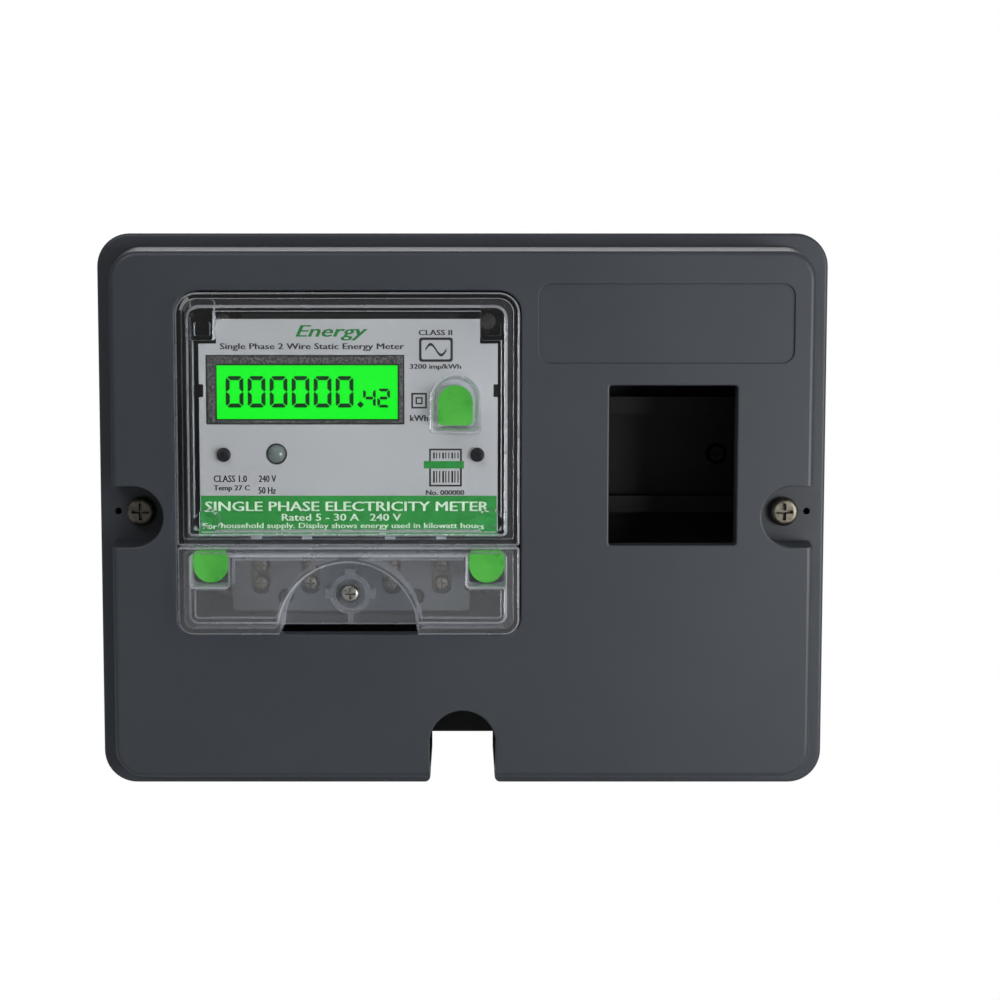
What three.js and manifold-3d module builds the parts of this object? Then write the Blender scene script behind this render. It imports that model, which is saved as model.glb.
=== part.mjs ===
// Single-phase static electricity meter in a moulded wall box with a bay for a two-module breaker.
// Millimetres. X is to the right, Z is up and Y goes into the wall; the wall face is y = 0.
// The meter has a frame of its own: its centre, with y = 0 on the front of its clear flange.
import * as THREE from 'three';
import { mergeVertices } from 'three/addons/utils/BufferGeometryUtils.js';
import Module from 'manifold-3d';

const wasm = await Module();
wasm.setup();

// ---- Driving dimensions -------------------------------------------------------------------

const gap = 0.3; // between pieces that touch
const bite = 0.5; // how far one form reaches into another that it is joined to
const past = 1; // how far a cutting form reaches past the face that it opens

const box = {
  width: 210,
  height: 160,
  depth: 60,
  cornerRadius: 9.5,
};

const rim = {
  behindPanel: 18,
  thickness: 2,
  skirtLength: 8,
  skirtWall: 2,
  fillet: 1,
};

const panel = {
  sideMargin: 4.2,
  endMargin: 3.5,
  cornerRadius: 8.5,
  draft: 2,
  thickness: 2.5,
  wall: 2.2,
  fillet: 1.5,
  collarWall: 1.6,
  collarDepth: 4,
};

const tray = {
  wall: 2.2,
  back: 2.5,
  behindCover: 0.5,
  postRadius: 4.5,
  insertPostRadius: 4.8,
  boreBelowScrew: 3,
  ribDrop: 4,
  ribHalfThickness: 1,
  fixingRadius: 2.75,
  fixingInset: 17,
};

const pocket = {
  fromSide: 12,
  radius: 8.6,
  wall: 2,
  wireHoleRadius: 1,
  wireHoleInset: 5.2,
};

const notch = {
  halfWidth: 9.4,
  archDrop: 64.8,
  flare: 2,
  trayTop: 5.2,
};

const breaker = {
  fromRight: 45.8,
  above: 14.5,
  width: 36,
  height: 45,
  cornerRadius: 0.8,
  railBehindPanel: 46,
  railHeight: 35,
  railDepth: 7.5,
  railWall: 1.5,
  railChannel: 25,
  railOverhang: 8.5,
  screwSpacing: 36,
};

const labelRecess = {
  fromRight: 47.8,
  fromTop: 25.7,
  width: 71.5,
  height: 22.1,
  radius: 3.4,
  depth: 0.6,
};

const meter = {
  leftMargin: 25,
  topMargin: 17,
  size: 96,
  proud: 4,
  depth: 52,
  opening: 0.5,
  topRadius: 6,
  bottomRadius: 4.3,
};

const cover = {
  wall: 1.6,
  step: 4,
  stepInset: 3.5,
  leastRadius: 0.4,
  splitInset: 3.2,
  splitRadius: 0.8,
  skirtFillet: 0.6,
  faceRadius: 4,
  fillet: 1,
  skirtEnd: 14,
  splitBelow: 22.95,
  splitGap: 0.5,
  postRadius: 3.5,
  postBore: 1.8,
  postX: 39.6,
  lowPostZ: -16,
  highPostZ: 39.2,
};

const well = {
  floor: 4,
  wall: 1.2,
  topX: 30,
  topBottom: 8.6,
  topHalfWidth: 7.5,
  topHeight: 17.3,
  lowX: 38.2,
  lowHalfWidth: 6.7,
  lowBottom: -35,
  lowTopWall: 0.6,
  lowTopRadius: 0.5,
  lowBottomRadius: 1.5,
  lowInnerTopRadius: 0.4,
  lowInnerBottomRadius: 0.6,
};

const seal = {
  width: 9.8,
  topHeight: 11.2,
  lowHeight: 9.2,
  thickness: 2.6,
  shell: 1.2,
  topClearance: 2.4,
  fillet: 0.5,
  legWidth: 2.4,
  legThickness: 1.2,
  legSpacing: 5.4,
  legEnd: 0.4,
};

const arch = {
  radius: 20.6,
  rise: 1.3,
  lean: 0.06,
  wall: 1.2,
  floor: 11,
  floorThickness: 1.4,
  lip: 2.4,
  ringRadius: 5.7,
  ringWall: 1.3,
  ringHeight: 2.2,
  ringSlotHalf: 1,
  ringSlotFrom: 3,
  screwAbove: 10.5,
  web: 1.2,
};

const body = {
  wall: 2,
  floor: 2.5,
  front: 8,
  cornerRadius: 4,
  innerRadius: 2,
  ledgeRadius: 0.5,
  coverClearance: 0.4,
  fixingInset: 6.4,
  archGateRoom: 2,
  dividerThickness: 2.4,
  cableGateHalfWidth: 34,
  labelPostRadius: 3.2,
  postRadius: 3,
  pilotDepth: 8,
};

const plate = {
  front: 6,
  thickness: 0.8,
  left: -42.1,
  right: 41.9,
  bottom: -19.3,
  top: 40.6,
  cornerNotchWidth: 5,
  cornerNotchHeight: 6.9,
  sideNotchWidth: 1.2,
  sideNotchHeight: 3.6,
  sideNotchZ: 20.5,
  screwX: [-35.2, 36.2],
  screwZ: 2.5,
  windowMargin: 0.25,
};

const display = {
  x: -11.7,
  z: 20.05,
  frameX: -0.55,
  frameZ: 0.45,
  frameWidth: 55.1,
  frameHeight: 19.4,
  viewWidth: 50.9,
  viewHeight: 15.1,
  frameFront: 5.6,
  lip: 1.6,
  flange: 1,
  glassMargin: 0.5,
  glassThickness: 2,
  guideThickness: 3.2,
  guideRadius: 0.5,
  footInset: 1,
  footWidth: 4,
  wall: 1.2,
};

const board = {
  front: 17,
  thickness: 1.6,
  margin: 2,
  screwX: 38,
  screwZ: -14,
  cornerNotch: 11,
  partsZ: -8,
};

const led = {
  x: -20.4,
  z: 2.7,
  radius: 2.4,
  clearance: 0.5,
  front: 4.6,
  collarWidth: 0.35,
  collarFront: 3.4,
  collarThickness: 1.2,
};

const block = {
  front: 15,
  depth: 16.8,
  halfWidth: 34,
  aboveFoot: 5,
  height: 17,
  terminalX: [-26, -11.7, 11.7, 26],
  fixingX: 18.85,
  fixingAbove: 4,
  headRecess: 2.2,
  topWall: 1.5,
  cornerRadius: 1,
};

const terminal = {
  width: 9,
  depth: 10,
  height: 14,
  front: 20,
  boreRadius: 3.2,
  screwDrop: [4.2, 9.4],
  lugWidth: 5.6,
  lugHeight: 6,
  lugLength: 2.1,
};

const shunt = {
  thickness: 1.2,
  height: 6,
  overlap: 3.6,
  waistInset: 4,
  waistDepth: 1.6,
};

// Electronic parts on the board: half sizes in the front view, or radii, and their depth.
const film = { x: -16, halfWidth: 9, halfHeight: 6, depth: 11, cornerRadius: 0.8, fillet: 0.6 };
const can = { x: 4, radius: 4, depth: 12.4, grooveFront: 1.2, grooveBack: 2, grooveDepth: 0.3, edge: 0.4 };
const varistor = { x: 20, radius: 5.5, thickness: 4, lift: 0.7, footHalfWidth: 1.6, footHalfHeight: 3 };
const chip = { x: 28, halfWidth: 6, halfHeight: 4.5, depth: 1.8 };

// Pan-head screws: head and shank sizes, and the length under the head.
const thread = 0.3; // room round a shank in the hole that it is screwed into
const clearHole = 0.4; // room round a shank in a hole that it passes through
const coverScrew = { headRadius: 4.15, headHeight: 2.6, shankRadius: 1.9, length: 14 };
const fixingScrew = { headRadius: 3.4, headHeight: 2.2, shankRadius: 1.8, length: 9 };
const railScrew = { headRadius: 3.2, headHeight: 2, shankRadius: 1.6, length: 6 };
const lidScrew = { headRadius: 2.6, headHeight: 2, shankRadius: 1.4, length: 11 };
const labelScrew = { headRadius: 2, headHeight: 1.4, shankRadius: 1.1, length: 7 };
const boardScrew = { headRadius: 2.4, headHeight: 1.6, shankRadius: 1.2, length: 7 };
const clampScrew = { headRadius: 2.25, headHeight: 2.4, shankRadius: 1.8, length: 3.6 };
const blockScrew = { headRadius: 2.1, headHeight: 1.6, shankRadius: 1.2, length: 16 };

const coverInsert = { radius: 3.2, length: 10 };
const lidInsert = { radius: 2.5, length: 7 };

// ---- Levels and places worked out from them -----------------------------------------------

const panelFront = -box.depth;
const panelBack = panelFront + panel.thickness;
const rimFront = panelFront + rim.behindPanel;
const rimBack = rimFront + rim.thickness;
const skirtEnd = rimFront + rim.skirtLength;
const trayFront = rimBack + tray.behindCover;
const trayWidth = box.width - 2 * (rim.skirtWall + gap);
const trayHeight = box.height - 2 * (rim.skirtWall + gap);
const pocketX = box.width / 2 - pocket.fromSide;
const half = meter.size / 2;
const meterX = -box.width / 2 + meter.leftMargin + half;
const meterZ = box.height / 2 - meter.topMargin - half;
const meterFront = panelFront - meter.proud;
const meterBack = meterFront + meter.depth;
const breakerX = box.width / 2 - breaker.fromRight;
const railFront = panelFront + breaker.railBehindPanel;
const railBack = railFront + breaker.railDepth;
const railLength = breaker.width + 2 * breaker.railOverhang;
const notchTop = -notch.archDrop;

const shellHalf = half - cover.wall - body.coverClearance;
const splitTop = -cover.splitBelow + cover.splitGap / 2;
const splitBottom = -cover.splitBelow - cover.splitGap / 2;
const bodyFloor = meter.depth - body.floor;
const lidScrewZ = -half + arch.screwAbove;
const archCentre = -half + arch.rise;
const dividerTop = -cover.splitBelow + body.dividerThickness / 2;
const dividerBottom = -cover.splitBelow - body.dividerThickness / 2;
const fixingScrewX = shellHalf - body.fixingInset;
const blockBack = block.front + block.depth;
const blockBottom = -half + block.aboveFoot;
const blockTop = blockBottom + block.height;
const blockScrewZ = blockBottom + block.fixingAbove;
const clampScrewZ = terminal.screwDrop.map((drop) => blockTop - drop);

// ---- Solids -------------------------------------------------------------------------------

function solid(geometry) {
  geometry.deleteAttribute('normal');
  geometry.deleteAttribute('uv');
  const merged = mergeVertices(geometry, 1e-4);
  const index = merged.index.array;
  const triangles = [];
  for (let i = 0; i < index.length; i += 3) {
    const [a, b, c] = index.slice(i, i + 3);
    if (a !== b && b !== c && c !== a) {
      triangles.push(a, b, c);
    }
  }
  return new wasm.Manifold(new wasm.Mesh({
    numProp: 3,
    vertProperties: new Float32Array(merged.attributes.position.array),
    triVerts: new Uint32Array(triangles),
  }));
}

function join(...solids) {
  return solids.reduce((whole, piece) => whole.add(piece));
}

function cut(whole, ...tools) {
  return tools.reduce((rest, tool) => rest.subtract(tool), whole);
}

// An outline drawn in the front view, made a slab between two depths.
function slab(shape, front, back, segments = 3) {
  const geometry = new THREE.ExtrudeGeometry(shape, {
    depth: back - front,
    bevelEnabled: false,
    curveSegments: segments,
  });
  geometry.rotateX(Math.PI / 2);
  geometry.translate(0, back, 0);
  return solid(geometry);
}

// A slab whose front edge is chamfered, or whose sides lean in by the whole of its height.
function softSlab(shape, front, back, inset, height, steps, segments = 3) {
  const geometry = new THREE.ExtrudeGeometry(shape, {
    depth: back - front - height + 1,
    bevelThickness: height,
    bevelSize: inset,
    bevelOffset: -inset,
    bevelSegments: steps,
    curveSegments: segments,
  });
  geometry.rotateX(Math.PI / 2);
  geometry.translate(0, back + past, 0);
  return solid(geometry).trimByPlane([0, -1, 0], -back);
}

function rounded(shape, front, back, radius, segments = 3) {
  return softSlab(shape, front, back, radius, radius, 1, segments);
}

function drafted(shape, front, back, inset) {
  return softSlab(shape, front, back, inset, back - front, 1);
}

function block3(left, right, front, back, bottom, top) {
  const geometry = new THREE.BoxGeometry(right - left, back - front, top - bottom);
  geometry.translate((left + right) / 2, (front + back) / 2, (bottom + top) / 2);
  return solid(geometry);
}

// A cylinder whose axis runs front to back.
function rod(radius, front, back, x = 0, z = 0, sides = 14) {
  const geometry = new THREE.CylinderGeometry(radius, radius, back - front, sides);
  geometry.translate(x, (front + back) / 2, z);
  return solid(geometry);
}

// A cylinder whose axis runs up and down.
function uprightRod(radius, bottom, top, x, y, sides = 14) {
  const geometry = new THREE.CylinderGeometry(radius, radius, top - bottom, sides);
  geometry.rotateX(Math.PI / 2);
  geometry.translate(x, y, (bottom + top) / 2);
  return solid(geometry);
}

// ---- Outlines in the front view -----------------------------------------------------------

function roundedBox(left, right, bottom, top, topRadius, bottomRadius = topRadius) {
  const shape = new THREE.Shape();
  shape.moveTo(left + bottomRadius, bottom);
  shape.lineTo(right - bottomRadius, bottom);
  shape.absarc(right - bottomRadius, bottom + bottomRadius, bottomRadius, -Math.PI / 2, 0);
  shape.lineTo(right, top - topRadius);
  shape.absarc(right - topRadius, top - topRadius, topRadius, 0, Math.PI / 2);
  shape.lineTo(left + topRadius, top);
  shape.absarc(left + topRadius, top - topRadius, topRadius, Math.PI / 2, Math.PI);
  shape.lineTo(left, bottom + bottomRadius);
  shape.absarc(left + bottomRadius, bottom + bottomRadius, bottomRadius, Math.PI, 1.5 * Math.PI);
  return shape;
}

function centredBox(width, height, radius) {
  return roundedBox(-width / 2, width / 2, -height / 2, height / 2, radius);
}

function rectangle(left, right, bottom, top) {
  const shape = new THREE.Shape();
  shape.moveTo(left, bottom);
  shape.lineTo(right, bottom);
  shape.lineTo(right, top);
  shape.lineTo(left, top);
  return shape;
}

// A slot that enters from one side of the box and ends in a half circle.
function sideSlot(side, radius) {
  const mouth = side * (box.width / 2 + 5);
  const centre = side * pocketX;
  const shape = new THREE.Shape();
  shape.moveTo(mouth, -radius);
  shape.lineTo(centre, -radius);
  if (side > 0) {
    shape.absarc(centre, 0, radius, -Math.PI / 2, Math.PI / 2, true);
  } else {
    shape.absarc(centre, 0, radius, -Math.PI / 2, Math.PI / 2, false);
  }
  shape.lineTo(mouth, radius);
  return shape;
}

// A gateway with a half-round top and flared feet, open at the bottom of the box.
function gateway(halfWidth) {
  const foot = -box.height / 2;
  const below = foot - 5;
  const shape = new THREE.Shape();
  shape.moveTo(-halfWidth - notch.flare, below);
  shape.lineTo(-halfWidth - notch.flare, foot);
  shape.absarc(-halfWidth - notch.flare, foot + notch.flare, notch.flare, -Math.PI / 2, 0);
  shape.lineTo(-halfWidth, notchTop);
  shape.absarc(0, notchTop, halfWidth, Math.PI, 0, true);
  shape.lineTo(halfWidth, foot + notch.flare);
  shape.absarc(halfWidth + notch.flare, foot + notch.flare, notch.flare, Math.PI, 1.5 * Math.PI);
  shape.lineTo(halfWidth + notch.flare, below);
  return shape;
}

// A D lying on its back (round end up) or face down (round end down).
function dShape(x, halfWidth, flatZ, height, up) {
  const turn = up ? 1 : -1;
  const centreZ = flatZ + turn * (height - halfWidth);
  const shape = new THREE.Shape();
  shape.moveTo(x - halfWidth, flatZ);
  shape.lineTo(x + halfWidth, flatZ);
  shape.lineTo(x + halfWidth, centreZ);
  shape.absarc(x, centreZ, halfWidth, 0, turn * Math.PI, !up);
  return shape;
}

// ---- Small hardware -----------------------------------------------------------------------

// Proportions of a pan head: its straight side, its crown and its cross recess.
const panHead = { side: 0.5, crown: 0.7, arm: 0.55, slotHalf: 0.12, floor: 0.35 };

// A pan-head screw with a cross recess. Its head seats on y = 0 and its shank runs to +y.
function screw({ headRadius, headHeight, shankRadius, length }, sides = 10) {
  const profile = [
    [0, length],
    [shankRadius, length],
    [shankRadius, 0],
    [headRadius, 0],
    [headRadius, -headHeight * panHead.side],
    [headRadius * panHead.crown, -headHeight],
    [0, -headHeight],
  ].map(([r, y]) => new THREE.Vector2(r, y));
  const turned = solid(new THREE.LatheGeometry(profile.reverse(), sides));
  const arm = headRadius * panHead.arm;
  const slot = headRadius * panHead.slotHalf;
  const floor = -headHeight * panHead.floor;
  return cut(
    turned,
    block3(-arm, arm, -headHeight - 1, floor, -slot, slot),
    block3(-slot, slot, -headHeight - 1, floor, -arm, arm),
  );
}

function ring(outerRadius, innerRadius, front, back) {
  return cut(rod(outerRadius, front, back), rod(innerRadius, front - past, back + past));
}

// ---- Wall box -----------------------------------------------------------------------------

function trayCorners() {
  const x = trayWidth / 2 - tray.fixingInset;
  const z = trayHeight / 2 - tray.fixingInset;
  return [[-x, -z], [x, -z], [-x, z], [x, z]];
}

function meterFixings() {
  return [-1, 1].flatMap((side) => [-1, 1].map((end) => [side * fixingScrewX, end * fixingScrewX]));
}

function railScrewPlaces() {
  return [-1, 1].map((side) => [breakerX + side * breaker.screwSpacing / 2, breaker.above]);
}

function makeBaseBox() {
  const radius = box.cornerRadius - rim.skirtWall - gap;
  const outside = slab(centredBox(trayWidth, trayHeight, radius), trayFront, 0);
  let inside = slab(
    centredBox(trayWidth - 2 * tray.wall, trayHeight - 2 * tray.wall, radius - tray.wall),
    trayFront - past,
    -tray.back,
  );
  const inserts = [];
  for (const side of [-1, 1]) {
    const x = side * pocketX;
    const wallX = side * (trayWidth / 2 - tray.wall / 2);
    inside = cut(
      inside,
      rod(tray.insertPostRadius, trayFront, 0, x, 0),
      block3(
        Math.min(x, wallX),
        Math.max(x, wallX),
        trayFront + tray.ribDrop,
        0,
        -tray.ribHalfThickness,
        tray.ribHalfThickness,
      ),
    );
    inserts.push(
      rod(coverInsert.radius + gap, trayFront - past, trayFront + coverInsert.length + gap, x, 0),
      rod(
        coverScrew.shankRadius + clearHole,
        trayFront,
        rimFront + coverScrew.length + tray.boreBelowScrew,
        x,
        0,
      ),
    );
  }
  const pilots = [];
  for (const [x, z] of meterFixings()) {
    const place = [meterX + x, meterZ + z];
    inside = cut(inside, rod(tray.postRadius, meterBack + gap, 0, ...place));
    pilots.push(rod(fixingScrew.shankRadius + thread, meterBack, -tray.back / 2, ...place, 10));
  }
  for (const [x, z] of railScrewPlaces()) {
    inside = cut(inside, rod(tray.postRadius, railBack + gap, 0, x, z));
    pilots.push(rod(railScrew.shankRadius + thread, railBack, -tray.back / 2, x, z, 10));
  }
  const fixings = trayCorners().map(([x, z]) => rod(tray.fixingRadius, -tray.back - past, 1, x, z, 16));
  const foot = -trayHeight / 2;
  const gate = block3(
    -notch.halfWidth,
    notch.halfWidth,
    trayFront - past,
    1,
    foot - past,
    foot + notch.trayTop,
  );
  return cut(outside, inside, ...inserts, ...pilots, ...fixings, gate);
}

function makeFrontCover() {
  const panelWidth = box.width - 2 * panel.sideMargin;
  const panelHeight = box.height - 2 * panel.endMargin;
  const panelRadius = panel.cornerRadius;
  const faceWidth = panelWidth - 2 * panel.draft;
  const faceHeight = panelHeight - 2 * panel.draft;
  const faceRadius = panelRadius - panel.draft;
  const shoulder = panelFront + panel.fillet;

  const outside = join(
    rounded(centredBox(box.width, box.height, box.cornerRadius), rimFront, skirtEnd, rim.fillet),
    drafted(centredBox(panelWidth, panelHeight, panelRadius), shoulder, rimBack, panel.draft),
    rounded(centredBox(faceWidth, faceHeight, faceRadius), panelFront, rimFront, panel.fillet),
  );

  const skirtInside = slab(
    centredBox(
      box.width - 2 * rim.skirtWall,
      box.height - 2 * rim.skirtWall,
      box.cornerRadius - rim.skirtWall,
    ),
    rimBack,
    skirtEnd + past,
  );
  let inside = drafted(
    centredBox(panelWidth - 2 * panel.wall, panelHeight - 2 * panel.wall, panelRadius - panel.wall),
    panelBack,
    rimBack + bite,
    panel.draft,
  );

  const collarBack = panelBack + panel.collarDepth;
  const meterHole = half + meter.opening;
  const meterOutline = (grow) => roundedBox(
    meterX - meterHole - grow,
    meterX + meterHole + grow,
    meterZ - meterHole - grow,
    meterZ + meterHole + grow,
    meter.topRadius + meter.opening + grow,
    meter.bottomRadius + meter.opening + grow,
  );
  const breakerOutline = (grow) => roundedBox(
    breakerX - breaker.width / 2 - grow,
    breakerX + breaker.width / 2 + grow,
    breaker.above - breaker.height / 2 - grow,
    breaker.above + breaker.height / 2 + grow,
    breaker.cornerRadius + grow,
  );
  inside = cut(
    inside,
    slab(meterOutline(panel.collarWall), panelBack - past, collarBack),
    slab(breakerOutline(panel.collarWall), panelBack - past, collarBack),
    slab(gateway(notch.halfWidth + panel.collarWall), panelBack - past, collarBack, 8),
    slab(sideSlot(-1, pocket.radius + pocket.wall), panelBack - past, rimBack + past, 10),
    slab(sideSlot(1, pocket.radius + pocket.wall), panelBack - past, rimBack + past, 10),
  );

  const labelX = box.width / 2 - labelRecess.fromRight;
  const labelZ = box.height / 2 - labelRecess.fromTop;
  const recess = slab(
    roundedBox(
      labelX - labelRecess.width / 2,
      labelX + labelRecess.width / 2,
      labelZ - labelRecess.height / 2,
      labelZ + labelRecess.height / 2,
      labelRecess.radius,
    ),
    panelFront - past,
    panelFront + labelRecess.depth,
  );
  const holes = [-1, 1].flatMap((side) => [
    slab(sideSlot(side, pocket.radius), panelFront - past, rimFront, 10),
    rod(coverScrew.shankRadius + clearHole, rimFront - past, rimBack + past, side * pocketX, 0),
    rod(
      pocket.wireHoleRadius,
      rimFront - past,
      rimBack + past,
      side * (box.width / 2 - pocket.wireHoleInset),
      0,
      12,
    ),
  ]);
  return cut(
    outside,
    skirtInside,
    inside,
    slab(meterOutline(0), panelFront - past, collarBack + past),
    slab(breakerOutline(0), panelFront - past, collarBack + past),
    slab(gateway(notch.halfWidth), panelFront - past, skirtEnd + past, 8),
    recess,
    ...holes,
  );
}

// Top-hat rail profile in the side view, run along X.
function makeRail() {
  const tall = breaker.railHeight / 2;
  const channel = breaker.railChannel / 2;
  const wall = breaker.railWall;
  const deep = breaker.railDepth;
  const shape = new THREE.Shape();
  shape.moveTo(0, -tall);
  shape.lineTo(wall, -tall);
  shape.lineTo(wall, -channel - wall);
  shape.lineTo(deep, -channel - wall);
  shape.lineTo(deep, channel + wall);
  shape.lineTo(wall, channel + wall);
  shape.lineTo(wall, tall);
  shape.lineTo(0, tall);
  shape.lineTo(0, channel);
  shape.lineTo(deep - wall, channel);
  shape.lineTo(deep - wall, -channel);
  shape.lineTo(0, -channel);
  const geometry = new THREE.ExtrudeGeometry(shape, { depth: railLength, bevelEnabled: false });
  geometry.translate(0, 0, -railLength / 2);
  const toSideView = new THREE.Matrix4().makeBasis(
    new THREE.Vector3(0, 1, 0),
    new THREE.Vector3(0, 0, 1),
    new THREE.Vector3(1, 0, 0),
  );
  geometry.applyMatrix4(toSideView);
  const holes = [-1, 1].map((side) => (
    rod(railScrew.shankRadius + clearHole, -1, deep + past, side * breaker.screwSpacing / 2, 0)
  ));
  return cut(solid(geometry), ...holes);
}

// ---- Meter: body and covers ---------------------------------------------------------------

function makeMeterBody() {
  const outline = roundedBox(-shellHalf, shellHalf, -shellHalf, shellHalf, body.cornerRadius);
  const inner = shellHalf - body.wall;
  const room = (bottom, top, bottomRadius, topRadius) => slab(
    roundedBox(-inner, inner, bottom, top, topRadius, bottomRadius),
    body.front - past,
    bodyFloor,
  );
  const post = (radius, front, x, z) => rod(radius, front + gap, bodyFloor + 1, x, z);
  const pilot = (kind, front, x, z) => (
    rod(kind.shankRadius + thread, front, front + body.pilotDepth, x, z, 10)
  );

  const plateBack = plate.front + plate.thickness;
  const boardBack = board.front + board.thickness;
  const posts = [];
  const pilots = [];
  for (const x of plate.screwX) {
    posts.push(post(body.labelPostRadius, plateBack, x, plate.screwZ));
    pilots.push(pilot(labelScrew, plateBack, x, plate.screwZ));
  }
  for (const side of [-1, 1]) {
    posts.push(
      post(body.postRadius, boardBack, side * board.screwX, board.screwZ),
      post(body.postRadius, blockBack, side * block.fixingX, blockScrewZ),
    );
    pilots.push(
      pilot(boardScrew, boardBack, side * board.screwX, board.screwZ),
      pilot(blockScrew, blockBack, side * block.fixingX, blockScrewZ),
    );
  }
  const upper = cut(room(dividerTop, inner, body.ledgeRadius, body.innerRadius), ...posts);
  const lower = cut(room(-inner, dividerBottom, body.innerRadius, body.ledgeRadius), ...posts);
  const fixings = meterFixings().map(([x, z]) => (
    rod(fixingScrew.shankRadius + clearHole, bodyFloor - 1, meter.depth + past, x, z, 12)
  ));
  const terminalBack = terminal.front + terminal.depth;
  const cableGate = block3(
    -body.cableGateHalfWidth,
    body.cableGateHalfWidth,
    terminal.front - bite,
    terminalBack + bite,
    -half,
    -inner + 1,
  );
  const archGate = block3(
    -archFoot(arch.radius) - body.archGateRoom / 2,
    archFoot(arch.radius) + body.archGateRoom / 2,
    body.front - past,
    arch.floor + arch.floorThickness + body.archGateRoom,
    -half,
    -inner + 1,
  );
  const outside = slab(outline, body.front, meter.depth);
  return cut(outside, upper, lower, ...pilots, ...fixings, cableGate, archGate);
}

// Outer and inner forms shared by both clear covers: a skirt, a flange and a raised face.
function clearShell(bottom, top, topRadius, bottomRadius, bottomInset, topInset) {
  const faceRadius = (radius) => Math.max(Math.min(radius, cover.faceRadius), cover.fillet + gap);
  const insideRadius = (radius) => Math.max(radius - cover.wall, cover.leastRadius);
  const face = roundedBox(
    -half + cover.stepInset,
    half - cover.stepInset,
    bottom + bottomInset,
    top - topInset,
    faceRadius(topRadius),
    faceRadius(bottomRadius),
  );
  const faceInside = roundedBox(
    -half + cover.stepInset + cover.wall,
    half - cover.stepInset - cover.wall,
    bottom + bottomInset + cover.wall,
    top - topInset - cover.wall,
    insideRadius(faceRadius(topRadius)),
    insideRadius(faceRadius(bottomRadius)),
  );
  const flangeInside = roundedBox(
    -half + cover.wall,
    half - cover.wall,
    bottom + cover.wall,
    top - cover.wall,
    insideRadius(topRadius),
    insideRadius(bottomRadius),
  );
  const flange = roundedBox(-half, half, bottom, top, topRadius, bottomRadius);
  return {
    outside: join(
      rounded(flange, 0, cover.skirtEnd, cover.skirtFillet),
      rounded(face, -cover.step, cover.wall, cover.fillet),
    ),
    inside: join(
      slab(flangeInside, cover.wall, cover.skirtEnd + past),
      slab(faceInside, -cover.step + cover.wall, cover.wall + past),
    ),
  };
}

// Slots in the floor of a well for the legs of its seal.
function legSlots(x, z) {
  return [-1, 1].map((side) => {
    const legX = x + side * seal.legSpacing / 2;
    const halfThickness = seal.legThickness / 2 + gap;
    const halfWidth = seal.legWidth / 2 + gap;
    return block3(
      legX - halfThickness,
      legX + halfThickness,
      well.floor - 1,
      well.floor + well.wall + past,
      z - halfWidth,
      z + halfWidth,
    );
  });
}

const topSeal = {
  x: well.topX,
  flatZ: well.topBottom + seal.topClearance,
  height: seal.topHeight,
  up: true,
};
const lowSeals = [-1, 1].map((side) => ({
  x: side * well.lowX,
  flatZ: splitBottom - well.lowTopWall - gap,
  height: seal.lowHeight,
  up: false,
}));

function sealMiddle({ flatZ, height, up }) {
  return flatZ + (up ? 1 : -1) * height * 0.5;
}

function makeMeterCover() {
  const shell = clearShell(
    splitTop,
    half,
    meter.topRadius,
    cover.splitRadius,
    cover.splitInset,
    cover.stepInset,
  );
  const wellBack = well.floor + well.wall;
  const wellOutside = dShape(well.topX, well.topHalfWidth, well.topBottom, well.topHeight, true);
  const wellInside = dShape(
    well.topX,
    well.topHalfWidth - well.wall,
    well.topBottom + well.wall,
    well.topHeight - 2 * well.wall,
    true,
  );
  const posts = [-1, 1].flatMap((side) => [cover.lowPostZ, cover.highPostZ].map((z) => (
    rod(cover.postRadius, -cover.step + 1, plate.front - gap, side * cover.postX, z)
  )));
  const bores = [-1, 1].flatMap((side) => [cover.lowPostZ, cover.highPostZ].map((z) => (
    rod(cover.postBore, 0, plate.front, side * cover.postX, z, 12)
  )));
  const kept = join(slab(wellOutside, -cover.step + 1, wellBack, 10), ...posts);
  const dividerRoom = block3(
    -half + cover.wall,
    half - cover.wall,
    body.front - past,
    cover.skirtEnd + past,
    splitTop - past,
    splitTop + cover.wall + past,
  );
  return cut(
    shell.outside,
    cut(shell.inside, kept),
    slab(wellInside, -cover.step - 1, well.floor, 10),
    ...bores,
    ...legSlots(well.topX, sealMiddle(topSeal)),
    dividerRoom,
  );
}

// The recess round the terminal cover's screw: an arc with two legs that lean outwards.
function archFoot(radius) {
  return radius * Math.cos(arch.lean) + (arch.rise + radius * Math.sin(arch.lean)) * Math.tan(arch.lean);
}

function archShape(radius) {
  const below = 2;
  const footX = archFoot(radius) + below * Math.tan(arch.lean);
  const shape = new THREE.Shape();
  shape.moveTo(footX, -half - below);
  shape.lineTo(radius * Math.cos(arch.lean), archCentre + radius * Math.sin(arch.lean));
  shape.absarc(0, archCentre, radius, arch.lean, Math.PI - arch.lean);
  shape.lineTo(-footX, -half - below);
  return shape;
}

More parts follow.
